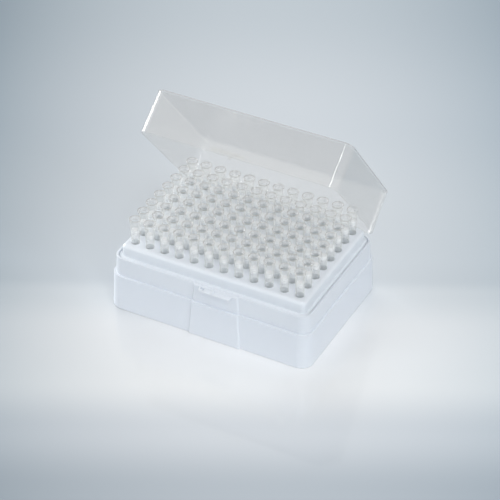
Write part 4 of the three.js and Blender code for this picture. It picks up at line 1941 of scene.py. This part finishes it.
@dataclass
class Studio:
    """Pale glossy table, the backdrop behind it, soft lamps and an even sky.

    The floor is one sheet. Its colour is painted light: it follows how far a point lies ahead of
    the box's middle, as the camera looks, palest just in front of the box, and falls off towards
    the sides as painted shade.

    Attributes:
        layout: Places in the frame.
        azimuth: Direction that the camera stands in, in degrees.
        lamps: The soft lamps.
        sky: Colour of the even light.
        sky_strength: Its strength.
        seen_sky: Colour of the sky where it is seen, straight or as a reflection.
        mirror: Share of the light that the table reflects as a mirror at a grazing view.
        mirror_roughness: Roughness of that mirror.
        painted_light_stops: Colours of the floor's painted light along its ramp, each with its
            distance ahead in millimetres.
        side_fall: Share of red, green and blue that it loses at side_reach, on both sides, as
            painted shade.
        side_tilt: Share that it gains there on the right and loses on the left, painted light and
            shade.
        side_reach: Distance to the side where it is lost, in millimetres.
        side_end: Distances to the side between which the fall fades away again.
        floor_half: Half the side of the sheet in millimetres.
        floor_drop: Distance of the sheet below the box's foot in millimetres.
        inner_counts: Lamps inside the tray along X and along Y.
        inner_spread: Share of the tray's half size that they are spread over.
        inner_radius: Their radius in millimetres.
        inner_colour: Their colour.
        inner_power: Watts of each.
    """

    layout: Layout
    azimuth: float
    lamps: tuple[Lamp, ...] = (
        Lamp("front_light", 48, 36, 1.5, 0.5, 0.5, 6.1),
        Lamp("key_light", 30, 60, 1.25, 0.2, 0.2, 1.3),
        Lamp("low_light", -40, 22, 0.75, 0.3, 0.3, 1.0),
        Lamp("left_strip", -96, 8, 0.6, 0.21, 0.48, 3.6, Lit.BOX),
        Lamp("table_light", -132, 45, 1.0, 0.5, 0.5, 2.35, Lit.TABLE),
        Lamp("top_light", 84, 78, 1.3, 0.7, 0.7, 2.5),
        Lamp("right_light", 74, 20, 1.4, 0.24, 0.24, 2.6),
    )
    sky: Rgba = colour(242, 243, 245)
    sky_strength: float = 0.29
    seen_sky: Rgba = colour(240, 243, 245)
    mirror: float = 0.4
    mirror_roughness: float = 0.04
    painted_light_stops: tuple[tuple[float, Rgba], ...] = (
        (-220, colour(160, 171, 181)),
        (-157, colour(181, 191, 200)),
        (-113, colour(217, 223, 229)),
        (-75, colour(249, 251, 252)),
        (-30, colour(251, 252, 253)),
        (2, colour(236, 240, 243)),
        (14, colour(223, 229, 234)),
        (35, colour(227, 233, 238)),
        (80, colour(226, 232, 237)),
        (180, colour(217, 225, 232)),
        (330, colour(196, 208, 217)),
    )
    side_fall: tuple[float, float, float] = (0.16, 0.135, 0.118)
    side_tilt: float = 0.065
    side_reach: float = 90.0
    side_end: Ends = (176.0, 250.0)
    floor_half: float = 2500.0
    floor_drop: float = 0.05
    inner_counts: tuple[int, int] = (4, 2)
    inner_spread: float = 0.65
    inner_radius: float = 10.0
    inner_colour: tuple[float, float, float] = (1.0, 0.97, 0.9)
    inner_power: float = 0.0018

    def floor_painted_light(self, nodes: Nodes, ahead: Socket) -> Socket:
        """Painted light of the floor along the way that the camera looks.

        Args:
            nodes: The floor's nodes.
            ahead: Distance ahead of the box's middle.

        Returns:
            The socket of the colour.
        """
        near, far = self.painted_light_stops[0][0], self.painted_light_stops[-1][0]
        ramp = nodes.add("ValToRGB", {"Fac": nodes.ranged(ahead, (near * MM, far * MM))})
        ramp.color_ramp.interpolation = "EASE"
        elements = ramp.color_ramp.elements
        elements.remove(elements[1])
        for index, (distance, tone) in enumerate(self.painted_light_stops):
            position = (distance - near) / (far - near)
            element = elements[0] if index == 0 else elements.new(position)
            element.position, element.color = position, tone
        return ramp.outputs["Color"]

    def side_painted_falloff(self, nodes: Nodes, aside: Socket) -> Socket:
        """Share of its colour that the floor keeps to the side, a painted fall-off of light.

        With s the distance aside over side_reach, it is 1 + w * s * (side_tilt - side_fall * s),
        where w fades from 1 to 0 between the distances side_end.

        Args:
            nodes: The floor's nodes.
            aside: Distance to the side.

        Returns:
            The socket of the share of red, green and blue.
        """
        side = nodes.maths("MULTIPLY", aside, 1 / (self.side_reach * MM))
        square = nodes.maths("MULTIPLY", side, side)
        fallen = nodes.vectors("MULTIPLY", square, tuple(-fall for fall in self.side_fall))
        changed = nodes.vectors("MULTIPLY_ADD", side, (self.side_tilt,) * 3, fallen)
        ends = tuple((edge / self.side_reach) ** 2 for edge in self.side_end)
        window = nodes.ranged(square, ends, (1.0, 0.0), interpolation_type="SMOOTHSTEP")
        return nodes.vectors("MULTIPLY_ADD", changed, window, (1, 1, 1))

    def floor_material(self) -> bpy.types.Material:
        """Glossy table whose colour follows the ramp of painted light.

        Returns:
            The material.
        """
        material, nodes = new_material("studio_floor")
        levelled = nodes.add("Mapping", {
            "Vector": nodes.add("TexCoord").outputs["Object"],
            "Rotation": (0, 0, -math.radians(self.azimuth)),
        })
        split = nodes.add("SeparateXYZ", {0: levelled.outputs["Vector"]}).outputs
        # Painted light: the floor is palest in front of the box and falls off away from it and to
        # the sides.
        ramp = self.floor_painted_light(nodes, split["Y"])
        shade = nodes.vectors("MULTIPLY", ramp, self.side_painted_falloff(nodes, split["X"]))
        board = nodes.add("BsdfDiffuse", {"Color": shade})
        gloss = nodes.add("BsdfGlossy", {"Color": WHITE, "Roughness": self.mirror_roughness})
        mirror = nodes.maths("MULTIPLY", nodes.facing(), self.mirror)
        surface = nodes.mixed(mirror, board, gloss)
        nodes.add("OutputMaterial", {"Surface": surface.outputs["Shader"]})
        return material

    def inner_light(self) -> None:
        """Makes the faint light that the white walls let into the tray, as rows of lamps."""
        half = (self.layout.foot_x, self.layout.foot_y)
        across, along = (
            np.linspace(-self.inner_spread, self.inner_spread, count) * size
            for count, size in zip(self.inner_counts, half)
        )
        for x in across:
            for y in along:
                data = bpy.data.lights.new("inner_light", "POINT")
                data.energy = self.inner_power
                data.color = self.inner_colour
                data.shadow_soft_size = self.inner_radius * MM
                lamp = bpy.data.objects.new("inner_light", data)
                lamp.visible_camera = False
                bpy.context.scene.collection.objects.link(lamp)
                lamp.location = (x * MM, y * MM, self.layout.rim_top * MM / 2)

    def table(self) -> bpy.types.Object:
        """Makes the floor's sheet.

        Returns:
            The sheet.
        """
        corners = np.array([[-1, -1], [1, -1], [1, 1], [-1, 1]]) * self.floor_half
        sheet = np.column_stack([corners, np.full(4, -self.floor_drop)])
        floor = new_object("floor", Shell(sheet, [[0, 1, 2, 3]]))
        floor.data.materials.append(self.floor_material())
        return floor

    def soft_lamps(self, floor: bpy.types.Object) -> None:
        """Makes the soft lamps, each on what it lights.

        Args:
            floor: The table. The other meshes are the box's.
        """
        groups = {
            kind: bpy.data.collections.new(f"lit_{kind.value}") for kind in (Lit.BOX, Lit.TABLE)
        }
        for thing in bpy.context.scene.objects:
            if thing.type == "MESH":
                groups[Lit.TABLE if thing is floor else Lit.BOX].objects.link(thing)
        target = Vector((0, 0, self.layout.rim_top * MM))
        for lamp in self.lamps:
            made = lamp.build(target)
            if lamp.lights is not Lit.ALL:
                made.light_linking.receiver_collection = groups[lamp.lights]
            made.visible_glossy = lamp.lights is not Lit.TABLE

    def even_sky(self) -> None:
        """Makes the sky, with one colour for its light and another where it is seen."""
        world = bpy.data.worlds.new("sky")
        world.use_nodes = True
        nodes = Nodes(world.node_tree)
        light = nodes.add("Background", {"Color": self.sky, "Strength": self.sky_strength})
        seen = nodes.add("Background", {"Color": self.seen_sky, "Strength": 1.0})
        rays = nodes.add("LightPath").outputs
        straight = nodes.maths("MAXIMUM", rays["Is Camera Ray"], rays["Is Glossy Ray"])
        shown = nodes.maths("MAXIMUM", straight, rays["Is Transmission Ray"])
        both = nodes.mixed(shown, light, seen)
        nodes.add("OutputWorld", {"Surface": both.outputs["Shader"]})
        bpy.context.scene.world = world

    def build(self) -> None:
        """Makes the floor, the lamps and the sky."""
        self.soft_lamps(self.table())
        self.inner_light()
        self.even_sky()


# ---------------------------------------------------------------- assembly


def white_finish(name: str, light: Rgba, deep: Rgba) -> WhitePlastic:
    """White plastic between two colours."""
    return WhitePlastic(name, Grain(light, deep, 0.30, 0.38))


def tip_finish(layout: Layout) -> ClearPlastic:
    """Clear plastic of the tips, with painted shade on their lips and painted light in their
    flares.
    """
    return ClearPlastic(
        "clear_tip", Grain(colour(233, 232, 229), colour(227, 227, 224), 0.24, 0.32),
        edge=colour(228, 228, 225), tint=(0.998, 0.998, 0.994, 1),
        face_on=0.05, edge_on=0.6, bend=3.5, polish=0.05,
        rim_top=layout.tip_top, passed=0.972, through=0.3,
    )


def lid_finishes() -> tuple[ClearPlastic, ...]:
    """Clear plastic of the lid's walls, its round top edges with a painted dark line of shade, its
    tab and its top.
    """
    clear = Grain(colour(220, 221, 221), colour(215, 216, 216), 0.28, 0.36)
    top_clear = Grain(colour(202, 209, 217), colour(197, 204, 212), 0.28, 0.36)
    return (
        ClearPlastic(
            "clear_lid", clear, edge=colour(206, 203, 198), tint=(0.99, 0.985, 0.98, 1),
            face_on=0.12, edge_on=0.5, bend=3.5, polish=0.03,
        ),
        # Painted shade: a dark brownish line on the round top edges that face the front or the
        # right.
        ClearPlastic(
            "clear_lid_painted_edge_shade", clear, edge=colour(166, 156, 147), tint=(0.98, 0.97, 0.96, 1),
            face_on=0.3, edge_on=0.9, bend=2.0, polish=0.1,
        ),
        ClearPlastic(
            "clear_lid_tab", clear, edge=colour(232, 228, 220), tint=(1.0, 0.995, 0.98, 1),
            face_on=0.08, edge_on=0.12, bend=2.0, polish=0.05, most_mirror=0.2, through=0.5,
        ),
        ClearPlastic(
            "clear_lid_top", top_clear, edge=colour(206, 203, 198), tint=(0.985, 0.985, 0.985, 1),
            face_on=0.15, edge_on=0.5, bend=3.5, polish=0.03,
        ),
    )


def main() -> None:
    """Builds every piece, the studio and the camera."""
    logging.basicConfig(level=logging.INFO, format="%(message)s")
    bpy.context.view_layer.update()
    layout = Layout.from_frame()
    base = Base(layout, white_finish("white_moulded", colour(226, 232, 239), colour(222, 228, 236)))
    base.build()
    Rack(layout, white_finish(
        "white_moulded_rack", colour(232, 238, 244), colour(228, 234, 241),
    )).build()
    Tips(layout, tip_finish(layout)).build()
    Filters(layout, FilterFelt()).build()
    Lid(layout, base, lid_finishes()).build()
    camera = Camera()
    camera.build()
    Studio(layout, camera.azimuth).build()
    scene = bpy.context.scene
    scene.view_settings.view_transform = "Standard"
    for name, count in BOUNCES.items():
        setattr(scene.cycles, name, count)


if __name__ == "__main__":
    main()
